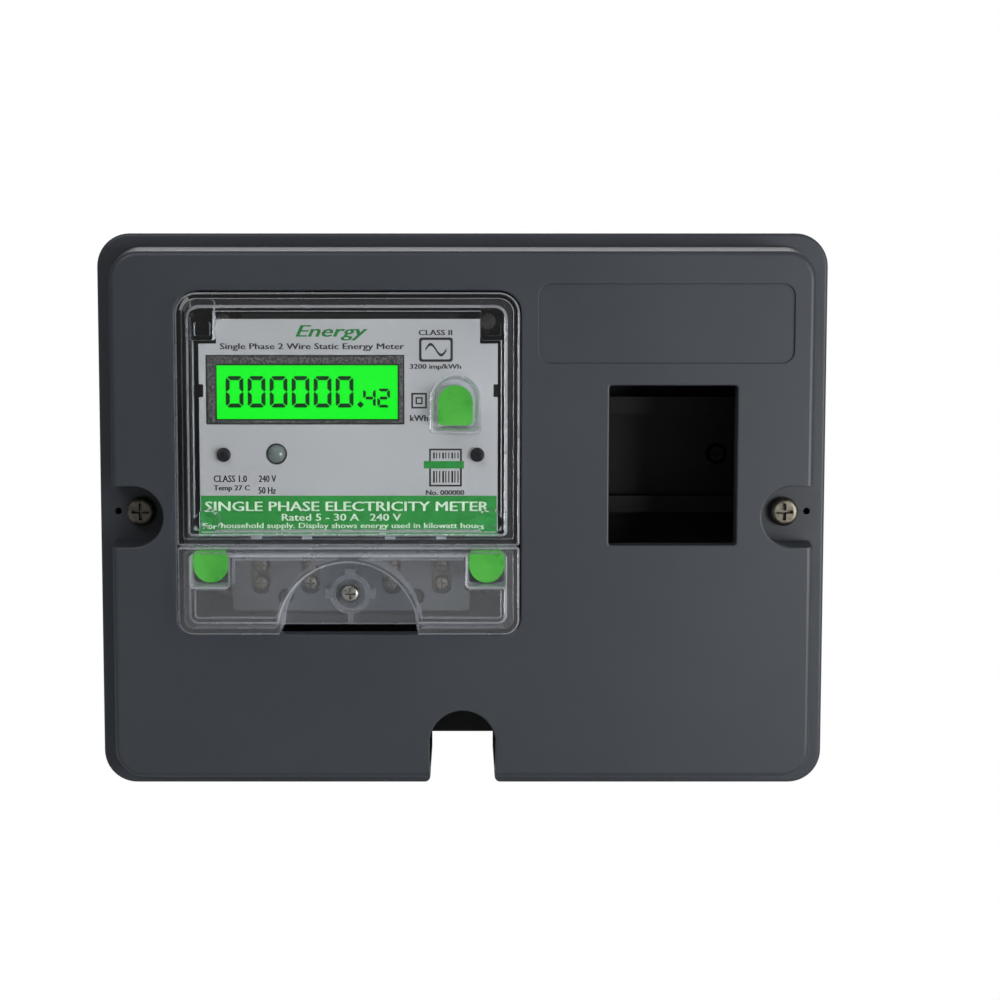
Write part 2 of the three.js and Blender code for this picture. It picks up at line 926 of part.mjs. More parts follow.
function makeTerminalCover() {
  const shell = clearShell(
    -half,
    splitBottom,
    cover.splitRadius,
    meter.bottomRadius,
    cover.stepInset,
    cover.splitInset,
  );
  const wellBack = well.floor + well.wall;
  const floorBack = arch.floor + arch.floorThickness;
  const keptWells = [-1, 1].map((side) => slab(
    roundedBox(
      side * well.lowX - well.lowHalfWidth,
      side * well.lowX + well.lowHalfWidth,
      well.lowBottom,
      splitBottom - cover.skirtFillet,
      well.lowTopRadius,
      well.lowBottomRadius,
    ),
    -cover.step + 1,
    wellBack,
    3,
  ));
  const wellHoles = [-1, 1].map((side) => slab(
    roundedBox(
      side * well.lowX - well.lowHalfWidth + well.wall,
      side * well.lowX + well.lowHalfWidth - well.wall,
      well.lowBottom + well.wall,
      splitBottom - well.lowTopWall,
      well.lowInnerTopRadius,
      well.lowInnerBottomRadius,
    ),
    -cover.step - 1,
    well.floor,
    3,
  ));
  const kept = join(slab(archShape(arch.radius), -cover.step + 1, floorBack, 10), ...keptWells);
  const recess = slab(archShape(arch.radius - arch.wall), -cover.step - 1, arch.floor, 12);
  const ringFront = arch.floor - arch.ringHeight;
  const screwRing = cut(
    rod(arch.ringRadius, ringFront, arch.floor + bite, 0, lidScrewZ),
    rod(arch.ringRadius - arch.ringWall, ringFront - past, arch.floor, 0, lidScrewZ),
    block3(
      -arch.ringSlotHalf,
      arch.ringSlotHalf,
      ringFront - past,
      arch.floor,
      lidScrewZ + arch.ringSlotFrom,
      lidScrewZ + arch.ringRadius + past,
    ),
  );
  const web = block3(
    -arch.web / 2,
    arch.web / 2,
    ringFront,
    arch.floor + bite,
    -half + arch.lip,
    lidScrewZ - arch.ringRadius + bite,
  );
  const mouthHalfWidth = archFoot(arch.radius - arch.wall);
  const mouth = block3(
    -mouthHalfWidth,
    mouthHalfWidth,
    -cover.step - 1,
    cover.skirtEnd + past,
    -half - past,
    -half + arch.lip,
  );
  const dividerRoom = block3(
    -half + cover.wall,
    half - cover.wall,
    body.front - past,
    cover.skirtEnd + past,
    splitBottom - cover.wall - past,
    splitBottom + past,
  );
  const slots = lowSeals.flatMap((place) => legSlots(place.x, sealMiddle(place)));
  const inside = cut(shell.inside, kept);
  const shellCut = cut(shell.outside, inside, recess, ...wellHoles, mouth, dividerRoom);
  const screwHole = rod(
    lidScrew.shankRadius + clearHole,
    ringFront - past,
    floorBack + past,
    0,
    lidScrewZ,
    16,
  );
  return cut(join(shellCut, screwRing, web), screwHole, ...slots);
}

// A snap-in seal: a shallow D cap with a hollow back and two legs.
function makeSeal(place) {
  const front = well.floor - gap - seal.thickness;
  const back = well.floor - gap;
  const middle = sealMiddle(place);
  const turn = place.up ? 1 : -1;
  const outline = dShape(place.x, seal.width / 2, place.flatZ, place.height, place.up);
  const cap = rounded(outline, front, back, seal.fillet);
  const hollow = slab(
    dShape(
      place.x,
      seal.width / 2 - seal.shell,
      place.flatZ + turn * seal.shell,
      place.height - 2 * seal.shell,
      place.up,
    ),
    front + seal.shell,
    back + past,
  );
  const legs = [-1, 1].map((side) => {
    const legX = place.x + side * seal.legSpacing / 2;
    return block3(
      legX - seal.legThickness / 2,
      legX + seal.legThickness / 2,
      front + seal.shell / 2,
      well.floor + well.wall + seal.legEnd,
      middle - seal.legWidth / 2,
      middle + seal.legWidth / 2,
    );
  });
  return join(cut(cap, hollow), ...legs);
}

// ---- Meter: register ----------------------------------------------------------------------

function makeLabelPlate() {
  const { left, right, bottom, top } = plate;
  const back = plate.front + plate.thickness;
  const through = [plate.front - past, back + 1];
  const blank = slab(rectangle(left, right, bottom, top), plate.front, back);
  const halfWidth = display.frameWidth / 2 + plate.windowMargin;
  const halfHeight = display.frameHeight / 2 + plate.windowMargin;
  const windowX = display.x + display.frameX;
  const windowZ = display.z + display.frameZ;
  const cuts = [
    slab(
      rectangle(windowX - halfWidth, windowX + halfWidth, windowZ - halfHeight, windowZ + halfHeight),
      ...through,
    ),
    rod(led.radius + led.clearance, ...through, led.x, led.z),
    ...plate.screwX.map((x) => rod(labelScrew.shankRadius + thread, ...through, x, plate.screwZ, 10)),
  ];
  for (const side of [-1, 1]) {
    const edge = side < 0 ? left : right;
    const corner = edge - side * plate.cornerNotchWidth;
    const notchEdge = edge - side * plate.sideNotchWidth;
    cuts.push(
      slab(
        rectangle(
          Math.min(corner, edge + side),
          Math.max(corner, edge + side),
          top - plate.cornerNotchHeight,
          top + past,
        ),
        ...through,
      ),
      slab(
        rectangle(
          Math.min(notchEdge, edge + side),
          Math.max(notchEdge, edge + side),
          plate.sideNotchZ - plate.sideNotchHeight / 2,
          plate.sideNotchZ + plate.sideNotchHeight / 2,
        ),
        ...through,
      ),
    );
  }
  return cut(blank, ...cuts);
}

const glassWidth = display.viewWidth + 2 * display.glassMargin;
const glassHeight = display.viewHeight + 2 * display.glassMargin;
const glassFront = display.frameFront + display.lip + gap;
const guideFront = glassFront + display.glassThickness + gap;

function makeDisplayFrame() {
  const { frameX, frameZ, frameWidth, frameHeight, viewWidth, viewHeight, frameFront } = display;
  const back = board.front - gap;
  const flangeFront = plate.front + plate.thickness + gap;
  const centred = (width, height, x = 0, z = 0) => (
    rectangle(x - width / 2, x + width / 2, z - height / 2, z + height / 2)
  );
  const grow = 2 * display.flange;
  return cut(
    join(
      slab(centred(frameWidth, frameHeight, frameX, frameZ), frameFront, back),
      slab(
        centred(frameWidth + grow, frameHeight + grow, frameX, frameZ),
        flangeFront,
        flangeFront + display.wall,
      ),
    ),
    slab(centred(viewWidth, viewHeight), frameFront - past, back + past),
    slab(centred(glassWidth + 2 * gap, glassHeight + 2 * gap), frameFront + display.lip, back + past),
  );
}

function makeGlass() {
  return block3(
    -glassWidth / 2,
    glassWidth / 2,
    glassFront,
    glassFront + display.glassThickness,
    -glassHeight / 2,
    glassHeight / 2,
  );
}

function makeLightGuide() {
  const back = guideFront + display.guideThickness;
  const feet = [-1, 1].map((side) => {
    const outer = side * (glassWidth / 2 - display.footInset);
    const inner = side * (glassWidth / 2 - display.footInset - display.footWidth);
    return block3(
      Math.min(outer, inner),
      Math.max(outer, inner),
      back - bite,
      board.front - gap,
      -glassHeight / 2 + 2 * display.footInset,
      glassHeight / 2 - 2 * display.footInset,
    );
  });
  const outline = centredBox(glassWidth, glassHeight, display.guideRadius);
  return join(slab(outline, guideFront, back), ...feet);
}

function makeBoard() {
  const inner = shellHalf - body.wall;
  const bottom = dividerTop + board.margin;
  const back = board.front + board.thickness;
  const edge = inner - board.margin;
  const corner = edge - board.cornerNotch;
  const postHoles = plate.screwX.map((x) => (
    rod(body.labelPostRadius + bite, board.front - past, back + past, x, plate.screwZ)
  ));
  const holes = [-1, 1].flatMap((side) => [
    rod(
      boardScrew.shankRadius + clearHole,
      board.front - past,
      back + past,
      side * board.screwX,
      board.screwZ,
      10,
    ),
    block3(
      Math.min(side * corner, side * (edge + past)),
      Math.max(side * corner, side * (edge + past)),
      board.front - past,
      back + past,
      corner,
      edge + past,
    ),
  ]);
  return cut(slab(rectangle(-edge, edge, bottom, edge), board.front, back), ...postHoles, ...holes);
}

function makeLed() {
  const domeY = led.front + led.radius;
  const dome = new THREE.SphereGeometry(led.radius, 12, 8);
  dome.rotateX(Math.PI / 2);
  dome.translate(0, domeY, 0);
  return join(
    solid(dome),
    rod(led.radius, domeY, board.front - gap, 0, 0, 12),
    rod(
      led.radius + led.collarWidth,
      domeY + led.collarFront,
      domeY + led.collarFront + led.collarThickness,
      0,
      0,
      12,
    ),
  );
}

function makeFilmCapacitor() {
  const { halfWidth, halfHeight, depth, cornerRadius, fillet } = film;
  const outline = roundedBox(-halfWidth, halfWidth, -halfHeight, halfHeight, cornerRadius);
  return rounded(outline, -depth, 0, fillet).rotate([180, 0, 0]);
}

function makeCan() {
  const groove = can.radius - can.grooveDepth;
  const profile = [
    [0, 0],
    [can.radius, 0],
    [can.radius, can.grooveFront],
    [groove, (can.grooveFront + can.grooveBack) / 2],
    [can.radius, can.grooveBack],
    [can.radius, can.depth - can.edge],
    [can.radius - can.edge, can.depth],
    [0, can.depth],
  ].map(([r, y]) => new THREE.Vector2(r, y));
  return solid(new THREE.LatheGeometry(profile, 12));
}

function makeVaristor() {
  const { radius, thickness, lift, footHalfWidth, footHalfHeight } = varistor;
  const disc = new THREE.CylinderGeometry(radius, radius, thickness, 14);
  disc.rotateZ(Math.PI / 2);
  disc.translate(0, radius + lift, 0);
  const foot = block3(-footHalfWidth, footHalfWidth, 0, 3, -footHalfHeight, footHalfHeight);
  return join(solid(disc), foot);
}

function makeChip() {
  return block3(-chip.halfWidth, chip.halfWidth, -chip.depth, 0, -chip.halfHeight, chip.halfHeight);
}

// ---- Meter: terminals ---------------------------------------------------------------------

const terminalTop = blockTop - block.topWall - gap;
const terminalBottom = terminalTop - terminal.height;

function makeTerminalBlock() {
  const { front, halfWidth } = block;
  const slotRadius = clampScrew.headRadius + bite;
  const [upperZ, lowerZ] = clampScrewZ;
  const cuts = [];
  for (const x of block.terminalX) {
    cuts.push(
      block3(
        x - terminal.width / 2 - gap,
        x + terminal.width / 2 + gap,
        terminal.front - gap,
        terminal.front + terminal.depth + gap,
        blockBottom - past,
        terminalTop + gap,
      ),
      slab(
        roundedBox(
          x - slotRadius,
          x + slotRadius,
          lowerZ - slotRadius,
          upperZ + slotRadius,
          clampScrew.headRadius,
        ),
        front - past,
        terminal.front,
      ),
      block3(
        x - terminal.lugWidth / 2 - gap,
        x + terminal.lugWidth / 2 + gap,
        terminal.front + terminal.depth - past,
        blockBack + past,
        terminalTop - terminal.lugHeight - gap,
        terminalTop + gap,
      ),
    );
  }
  for (const side of [-1, 1]) {
    const x = side * block.fixingX;
    cuts.push(
      rod(blockScrew.headRadius + gap, front - past, front + block.headRecess, x, blockScrewZ, 16),
      rod(blockScrew.shankRadius + thread, front, blockBack + past, x, blockScrewZ, 10),
    );
  }
  cuts.push(rod(lidInsert.radius + gap, front - past, front + lidInsert.length + bite, 0, lidScrewZ, 16));
  const outline = roundedBox(-halfWidth, halfWidth, blockBottom, blockTop, block.cornerRadius);
  return cut(slab(outline, front, blockBack), ...cuts);
}

function makeTerminal(x) {
  const back = terminal.front + terminal.depth;
  const middle = (terminal.front + back) / 2;
  const cage = join(
    block3(
      x - terminal.width / 2,
      x + terminal.width / 2,
      terminal.front,
      back,
      terminalBottom,
      terminalTop,
    ),
    block3(
      x - terminal.lugWidth / 2,
      x + terminal.lugWidth / 2,
      back - bite,
      back + terminal.lugLength,
      terminalTop - terminal.lugHeight,
      terminalTop,
    ),
  );
  const threads = clampScrewZ.map((z) => (
    rod(clampScrew.shankRadius + thread, terminal.front - past, middle, x, z, 16)
  ));
  return cut(
    cage,
    uprightRod(terminal.boreRadius, terminalBottom - 1, terminalTop + 1, x, middle, 20),
    ...threads,
  );
}

function makeStrip(from, to) {
  const front = terminal.front + terminal.depth + terminal.lugLength + gap;
  const top = terminalTop;
  const strip = block3(
    from - shunt.overlap,
    to + shunt.overlap,
    front,
    front + shunt.thickness,
    top - shunt.height,
    top,
  );
  const waist = block3(
    from + shunt.waistInset,
    to - shunt.waistInset,
    front - past,
    front + shunt.thickness + past,
    top - shunt.waistDepth,
    top + past,
  );
  return cut(strip, waist);
}

// ---- Materials ----------------------------------------------------------------------------

const finishes = {
  slate: { color: 0x484d53, roughness: 0.55, metalness: 0 },
  black: { color: 0x151618, roughness: 0.6, metalness: 0 },
  grey: { color: 0x4b4e50, roughness: 0.6, metalness: 0 },
  clear: { color: 0xdfe4e8, roughness: 0.08, metalness: 0, transparent: true, opacity: 0.3 },
  zinc: { color: 0xb9babd, roughness: 0.35, metalness: 1 },
  darkSteel: { color: 0x33353a, roughness: 0.45, metalness: 1 },
  brass: { color: 0xa99a80, roughness: 0.35, metalness: 1 },
  copper: { color: 0xa8683f, roughness: 0.4, metalness: 1 },
  silverLabel: { color: 0xa9abab, roughness: 0.5, metalness: 0.3 },
  greenSeal: { color: 0x4aa545, roughness: 0.4, metalness: 0 },
  litGreen: { color: 0x10ff2c, roughness: 0.2, metalness: 0 },
  white: { color: 0xe8eae6, roughness: 0.5, metalness: 0 },
  circuitBoard: { color: 0x141a17, roughness: 0.5, metalness: 0 },
  smoky: { color: 0x6c7472, roughness: 0.15, metalness: 0 },
  yellow: { color: 0xc9a43a, roughness: 0.5, metalness: 0 },
  blue: { color: 0x2c4f8f, roughness: 0.45, metalness: 0 },
};

function addMesh(parent, name, shape, finish, x = 0, y = 0, z = 0) {
  const { vertProperties, triVerts } = shape.getMesh();
  const geometry = new THREE.BufferGeometry();
  geometry.setAttribute('position', new THREE.BufferAttribute(vertProperties, 3));
  geometry.setIndex(new THREE.BufferAttribute(triVerts, 1));
  const material = new THREE.MeshStandardMaterial({ ...finishes[finish], flatShading: true });
  const mesh = new THREE.Mesh(geometry, material);
  mesh.name = name;
  mesh.position.set(x, y, z);
  parent.add(mesh);
}

// ---- Assembly -----------------------------------------------------------------------------

const group = new THREE.Group();
const sides = [[-1, 'left'], [1, 'right']];

addMesh(group, 'base_box', makeBaseBox(), 'black');
addMesh(group, 'front_cover', makeFrontCover(), 'slate');
for (const [side, word] of sides) {
  const insert = ring(coverInsert.radius, coverScrew.shankRadius + 0.2, 0, coverInsert.length);
  addMesh(group, `cover_insert_${word}`, insert, 'brass', side * pocketX, trayFront, 0);
  addMesh(group, `cover_screw_${word}`, screw(coverScrew, 16), 'zinc', side * pocketX, rimFront - gap, 0);
}

addMesh(group, 'breaker_rail', makeRail(), 'black', breakerX, railFront, breaker.above);
railScrewPlaces().forEach(([x, z], i) => {
  const seat = railBack - breaker.railWall - gap;
  addMesh(group, `rail_screw_${sides[i][1]}`, screw(railScrew), 'darkSteel', x, seat, z);
});

const meterGroup = new THREE.Group();
meterGroup.position.set(meterX, meterFront, meterZ);
group.add(meterGroup);

addMesh(meterGroup, 'meter_body', makeMeterBody(), 'black');
meterFixings().forEach(([x, z]) => {
  const place = `${z < 0 ? 'lower' : 'upper'}_${x < 0 ? 'left' : 'right'}`;
  addMesh(meterGroup, `meter_screw_${place}`, screw(fixingScrew), 'zinc', x, bodyFloor - gap, z);
});
addMesh(meterGroup, 'meter_cover', makeMeterCover(), 'clear');
addMesh(meterGroup, 'terminal_cover', makeTerminalCover(), 'clear');
addMesh(meterGroup, 'terminal_cover_screw', screw(lidScrew, 10), 'zinc', 0, arch.floor - gap, lidScrewZ);
addMesh(meterGroup, 'cover_seal_top', makeSeal(topSeal), 'greenSeal');
lowSeals.forEach((place, i) => {
  addMesh(meterGroup, `cover_seal_${sides[i][1]}`, makeSeal(place), 'greenSeal');
});

addMesh(meterGroup, 'label_plate', makeLabelPlate(), 'silverLabel');
sides.forEach(([side, word], i) => {
  const labelY = plate.front - gap;
  const boardY = board.front - gap;
  addMesh(
    meterGroup,
    `label_screw_${word}`,
    screw(labelScrew),
    'darkSteel',
    plate.screwX[i],
    labelY,
    plate.screwZ,
  );
  addMesh(
    meterGroup,
    `board_screw_${word}`,
    screw(boardScrew),
    'zinc',
    side * board.screwX,
    boardY,
    board.screwZ,
  );
});
addMesh(meterGroup, 'display_frame', makeDisplayFrame(), 'black', display.x, 0, display.z);
addMesh(meterGroup, 'lcd_glass', makeGlass(), 'litGreen', display.x, 0, display.z);
addMesh(meterGroup, 'light_guide', makeLightGuide(), 'white', display.x, 0, display.z);
addMesh(meterGroup, 'pulse_led', makeLed(), 'smoky', led.x, 0, led.z);
addMesh(meterGroup, 'circuit_board', makeBoard(), 'circuitBoard');

const partsBack = board.front + board.thickness + gap;
const partsFront = board.front - gap;
addMesh(meterGroup, 'supply_capacitor', makeFilmCapacitor(), 'yellow', film.x, partsBack, board.partsZ);
addMesh(meterGroup, 'bulk_capacitor', makeCan(), 'blue', can.x, partsBack, board.partsZ);
addMesh(meterGroup, 'surge_varistor', makeVaristor(), 'blue', varistor.x, partsBack, board.partsZ);
addMesh(meterGroup, 'metering_chip', makeChip(), 'black', chip.x, partsFront, board.partsZ);

addMesh(meterGroup, 'terminal_block', makeTerminalBlock(), 'grey');
for (const [side, word] of sides) {
  addMesh(
    meterGroup,
    `block_screw_${word}`,
    screw(blockScrew),
    'darkSteel',
    side * block.fixingX,
    block.front + block.headRecess - gap,
    blockScrewZ,
  );
}
const lidInsertRing = ring(lidInsert.radius, lidScrew.shankRadius + 0.2, 0, lidInsert.length);
addMesh(meterGroup, 'terminal_cover_insert', lidInsertRing, 'brass', 0, block.front + gap, lidScrewZ);
block.terminalX.forEach((x, i) => {
  addMesh(meterGroup, `terminal_${i + 1}`, makeTerminal(x), 'brass');
  clampScrewZ.forEach((z, j) => {
    const name = `clamp_screw_${i + 1}_${j === 0 ? 'upper' : 'lower'}`;
    addMesh(meterGroup, name, screw(clampScrew), 'brass', x, terminal.front - 1.2, z);
  });
});
const [first, second, third, fourth] = block.terminalX;
addMesh(meterGroup, 'phase_shunt', makeStrip(first, second), 'copper');
addMesh(meterGroup, 'neutral_link', makeStrip(third, fourth), 'copper');

export default group;
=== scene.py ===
import math
import bpy
import bmesh
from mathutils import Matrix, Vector


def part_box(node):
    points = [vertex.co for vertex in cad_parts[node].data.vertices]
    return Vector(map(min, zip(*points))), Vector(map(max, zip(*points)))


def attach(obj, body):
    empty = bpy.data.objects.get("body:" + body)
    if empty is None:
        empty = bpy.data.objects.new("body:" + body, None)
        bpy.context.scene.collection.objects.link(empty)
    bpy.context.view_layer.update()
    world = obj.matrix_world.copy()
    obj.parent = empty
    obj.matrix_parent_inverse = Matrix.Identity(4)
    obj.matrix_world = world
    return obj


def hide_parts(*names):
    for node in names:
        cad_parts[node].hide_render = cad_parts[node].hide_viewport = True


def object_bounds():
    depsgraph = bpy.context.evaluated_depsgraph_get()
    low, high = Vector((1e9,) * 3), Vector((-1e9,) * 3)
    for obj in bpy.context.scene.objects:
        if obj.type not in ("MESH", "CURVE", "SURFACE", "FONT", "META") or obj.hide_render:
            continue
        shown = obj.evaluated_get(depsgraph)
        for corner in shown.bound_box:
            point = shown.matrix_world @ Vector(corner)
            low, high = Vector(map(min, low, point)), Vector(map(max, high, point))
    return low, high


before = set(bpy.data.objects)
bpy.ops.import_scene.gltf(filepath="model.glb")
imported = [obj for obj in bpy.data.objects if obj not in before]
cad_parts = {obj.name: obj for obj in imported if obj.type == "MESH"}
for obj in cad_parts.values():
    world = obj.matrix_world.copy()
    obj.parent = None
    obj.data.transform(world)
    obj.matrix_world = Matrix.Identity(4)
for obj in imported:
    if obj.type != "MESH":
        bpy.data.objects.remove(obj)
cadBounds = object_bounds()
print("frame loaded")

unit = 0.001  # every value below is in millimetres unless its name says otherwise
near = 0.01  # two levels this close are the same


# small helpers

def boxOf(node):
    low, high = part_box(node)
    return low / unit, high / unit


def middleOf(node):
    low, high = boxOf(node)
    return (low.x + high.x) / 2, (low.z + high.z) / 2


def selectOnly(obj):
    bpy.ops.object.select_all(action="DESELECT")
    obj.select_set(True)
    bpy.context.view_layer.objects.active = obj


def placeNow(obj, name):
    selectOnly(obj)
    bpy.ops.object.transform_apply(location=True, rotation=True, scale=True)
    obj.name = name
    obj.data.name = name
    return obj


def addBox(name, low, high):
    low, high = Vector(low), Vector(high)
    bpy.ops.mesh.primitive_cube_add(size=1, location=(low + high) / 2 * unit)
    box = bpy.context.object
    box.scale = (high - low) * unit
    return placeNow(box, name)


def addRod(name, radius, front, back, x, z, sides=32):
    middle = Vector((x, (front + back) / 2, z)) * unit
    bpy.ops.mesh.primitive_cylinder_add(
        vertices=sides, radius=radius * unit, depth=(back - front) * unit,
        location=middle, rotation=(math.pi / 2, 0, 0))
    return placeNow(bpy.context.object, name)


def startEdit(obj, kind):
    selectOnly(obj)
    bpy.ops.object.mode_set(mode="EDIT")
    bpy.ops.mesh.select_mode(type=kind)
    bpy.ops.mesh.select_all(action="DESELECT")
    return bmesh.from_edit_mesh(obj.data)


def endEdit():
    bpy.ops.object.mode_set(mode="OBJECT")


def selectEdges(obj, test):
    mesh = startEdit(obj, "EDGE")
    for edge in mesh.edges:
        a, b = (v.co / unit for v in edge.verts)
        if test(a, b):
            edge.select = True
    bmesh.update_edit_mesh(obj.data)


def selectFaces(obj, test):
    mesh = startEdit(obj, "FACE")
    for face in mesh.faces:
        if test(face.calc_center_median() / unit, face.normal):
            face.select = True
    bmesh.update_edit_mesh(obj.data)


def bevelEdges(obj, test, width, segments):
    selectEdges(obj, test)
    bpy.ops.mesh.bevel(offset=width * unit, segments=segments, affect="EDGES", clamp_overlap=True)
    endEdit()


def roundCorners(obj, radius, segments=10, where=None):
    # edges that run front to back
    def runsBack(a, b):
        along = abs(a.y - b.y) > 0.2 and abs(a.x - b.x) < near and abs(a.z - b.z) < near
        return along and (where is None or where((a + b) / 2))
    bevelEdges(obj, runsBack, radius, segments)


def roundFront(obj, level, radius, segments=4):
    # works on the back edge too: level says which
    bevelEdges(obj, lambda a, b: abs(a.y - level) < near and abs(b.y - level) < near, radius, segments)


def growFace(obj, level, grow, step=0, side=-1):
    # pulls the face at level, which looks to side, out by step and widens it by grow all round
    selectFaces(obj, lambda c, n: abs(c.y - level) < near and n.y * side > 0.9)
    if step:
        bpy.ops.mesh.extrude_region_move(TRANSFORM_OT_translate={"value": (0, side * step * unit, 0)})
    points = [v.co / unit for v in bmesh.from_edit_mesh(obj.data).verts if v.select]
    x0, x1 = min(p.x for p in points), max(p.x for p in points)
    z0, z1 = min(p.z for p in points), max(p.z for p in points)
    width, height = x1 - x0, z1 - z0
    bpy.ops.transform.resize(
        value=((width + 2 * grow) / width, 1, (height + 2 * grow) / height),
        center_override=Vector(((x0 + x1) / 2, level, (z0 + z1) / 2)) * unit)
    endEdit()


def quarterSteps(radius, steps):
    # how far out and how much wider each step of a quarter round is
    last = 0, 0
    for i in range(1, steps + 1):
        angle = math.pi / 2 * i / steps
        out, wide = radius * math.sin(angle), radius * (1 - math.cos(angle))
        yield last[0], out - last[0], wide - last[1]
        last = out, wide


def lipCutter(cutter, level, lip, steps=4):
    # a cutter that ends lip behind level is given a bell mouth, so that its hole gets a rounded edge
    for done, out, wide in quarterSteps(lip, steps):
        growFace(cutter, level + lip - done, wide, out)
    growFace(cutter, level, 0.4, 1)
    return cutter


def applyModifier(obj, kind, **values):
    modifier = obj.modifiers.new(kind.lower(), kind)
    for key, value in values.items():
        setattr(modifier, key, value)
    selectOnly(obj)
    bpy.ops.object.modifier_apply(modifier=modifier.name)


def combine(obj, operation, tools):
    for tool in tools:
        applyModifier(obj, "BOOLEAN", object=tool, operation=operation, solver="EXACT")
        bpy.data.objects.remove(tool)


def cutWith(obj, *tools):
    combine(obj, "DIFFERENCE", tools)


def uniteWith(obj, *tools):
    combine(obj, "UNION", tools)


def joinAll(name, pieces):
    selectOnly(pieces[0])
    for piece in pieces:
        piece.select_set(True)
    if len(pieces) > 1:
        bpy.ops.object.join()
    joined = bpy.context.object
    joined.name = name
    joined.data.name = name
    return joined


def smooth(obj, angle=35):
    selectOnly(obj)
    bpy.ops.object.shade_smooth_by_angle(angle=math.radians(angle))
    applyModifier(obj, "WEIGHTED_NORMAL", keep_sharp=True, weight=80)


def softEdges(obj, width, segments=2, angle=40):
    applyModifier(obj, "BEVEL", width=width * unit, segments=segments, limit_method="ANGLE",
                  angle_limit=math.radians(angle), use_clamp_overlap=True)


def finish(obj, material, body, replaces=()):
    obj.data.materials.clear()
    obj.data.materials.append(material)
    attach(obj, body)
    if replaces:
        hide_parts(*replaces)
    return obj


# materials

def linear(red, green, blue):
    return tuple(((c + 0.055) / 1.055) ** 2.4 if c > 0.04045 else c / 12.92
                 for c in (red / 255, green / 255, blue / 255)) + (1,)


class Recipe:
    # a node tree built a node at a time round one Principled shader
    def __init__(self, name):
        self.material = bpy.data.materials.new(name)
        self.material.use_nodes = True
        self.tree = self.material.node_tree
        self.shader = self.tree.nodes["Principled BSDF"]
        self.place = self.add("TexCoord").outputs["Object"]

    def add(self, kind, **inputs):
        node = self.tree.nodes.new("ShaderNode" + kind)
        for key, value in inputs.items():
            self.feed(node.inputs[key.replace("_", " ")], value)
        return node

    def feed(self, socket, value):
        if isinstance(value, bpy.types.NodeSocket):
            self.tree.links.new(value, socket)
        else:
            socket.default_value = value

    def set(self, **inputs):
        for key, value in inputs.items():
            self.feed(self.shader.inputs[key.replace("_", " ")], value)

    def noise(self, scale, detail=3, roughness=0.5):
        node = self.add("TexNoise", Vector=self.place, Scale=scale, Detail=detail, Roughness=roughness)
        return node.outputs["Fac"]

    def ramp(self, value, stops):
        node = self.add("ValToRGB", Fac=value)
        elements = node.color_ramp.elements
        while len(elements) < len(stops):
            elements.new(0.5)
        for element, (position, colour) in zip(elements, stops):
            element.position = position
            element.color = colour
        return node.outputs["Color"]

    def spread(self, value, low, high, start=0.3, end=0.7):
        node = self.add("MapRange", Value=value, From_Min=start, From_Max=end, To_Min=low, To_Max=high)
        return node.outputs["Result"]

    def mixIn(self, ray, other):
        # light of the named kind meets the other shader in place of the Principled one
        mix = self.add("MixShader", Fac=self.add("LightPath").outputs[ray])
        self.feed(mix.inputs[1], self.shader.outputs[0])
        self.feed(mix.inputs[2], other.outputs[0])
        self.feed(self.tree.nodes["Material Output"].inputs["Surface"], mix.outputs[0])

    def bump(self, height, strength, distance):
        node = self.add("Bump", Height=height, Strength=strength, Distance=distance * unit)
        self.feed(self.shader.inputs["Normal"], node.outputs["Normal"])

    def ramped(self, value, dark, light):
        return self.ramp(value, [(0.3, linear(*dark)), (0.7, linear(*light))])


def mouldedPlastic(name, dark, light, rough, grain, depth):
    recipe = Recipe(name)
    cloudy = recipe.noise(28, 4)
    fine = recipe.noise(grain, 2)
    recipe.set(
        Base_Color=recipe.ramped(cloudy, dark, light),
        Roughness=recipe.spread(fine, rough - 0.05, rough + 0.07),
        IOR=1.5,
        Specular_IOR_Level=0.4,
    )
    recipe.bump(fine, 0.5, depth)
    return recipe.material


def plainMetal(name, dark, light, rough):
    recipe = Recipe(name)
    streaks = recipe.noise(900, 4)
    recipe.set(
        Base_Color=recipe.ramped(streaks, dark, light),
        Metallic=1.0,
        Roughness=recipe.spread(streaks, rough - 0.08, rough + 0.1),
    )
    recipe.bump(streaks, 0.25, 0.02)
    return recipe.material


def clearPlastic(name, tint=(250, 251, 253), clearness=1.0, rough=(0.015, 0.07)):
    recipe = Recipe(name)
    smudge = recipe.noise(60, 5)
    recipe.set(
        Base_Color=linear(*tint),
        Roughness=recipe.spread(smudge, rough[0], rough[1], 0.35, 0.8),
        Transmission_Weight=clearness,
        IOR=1.49,
    )
    recipe.bump(recipe.noise(45, 2), 0.05, 0.05)
    recipe.mixIn("Is Shadow Ray", recipe.add("BsdfTransparent", Color=linear(244, 246, 248)))
    return recipe.material


def speckledPlastic(name):
    recipe = Recipe(name)
    grains = recipe.noise(1250, 3, roughness=0.7)
    recipe.set(
        Base_Color=recipe.ramp(grains, [(0.44, linear(16, 16, 16)), (0.6, linear(96, 94, 92))]),
        Roughness=recipe.spread(grains, 0.45, 0.7),
    )
    recipe.bump(grains, 0.4, 0.06)
    return recipe.material


def silverPlate(name):
    recipe = Recipe(name)
    flakes = recipe.noise(1400, 3)
    cloudy = recipe.noise(22, 4)
    recipe.set(
        Base_Color=recipe.ramped(cloudy, (168, 168, 168), (178, 178, 178)),
        Metallic=0.15,
        Roughness=recipe.spread(flakes, 0.42, 0.58),
    )
    recipe.bump(flakes, 0.2, 0.015)
    return recipe.material


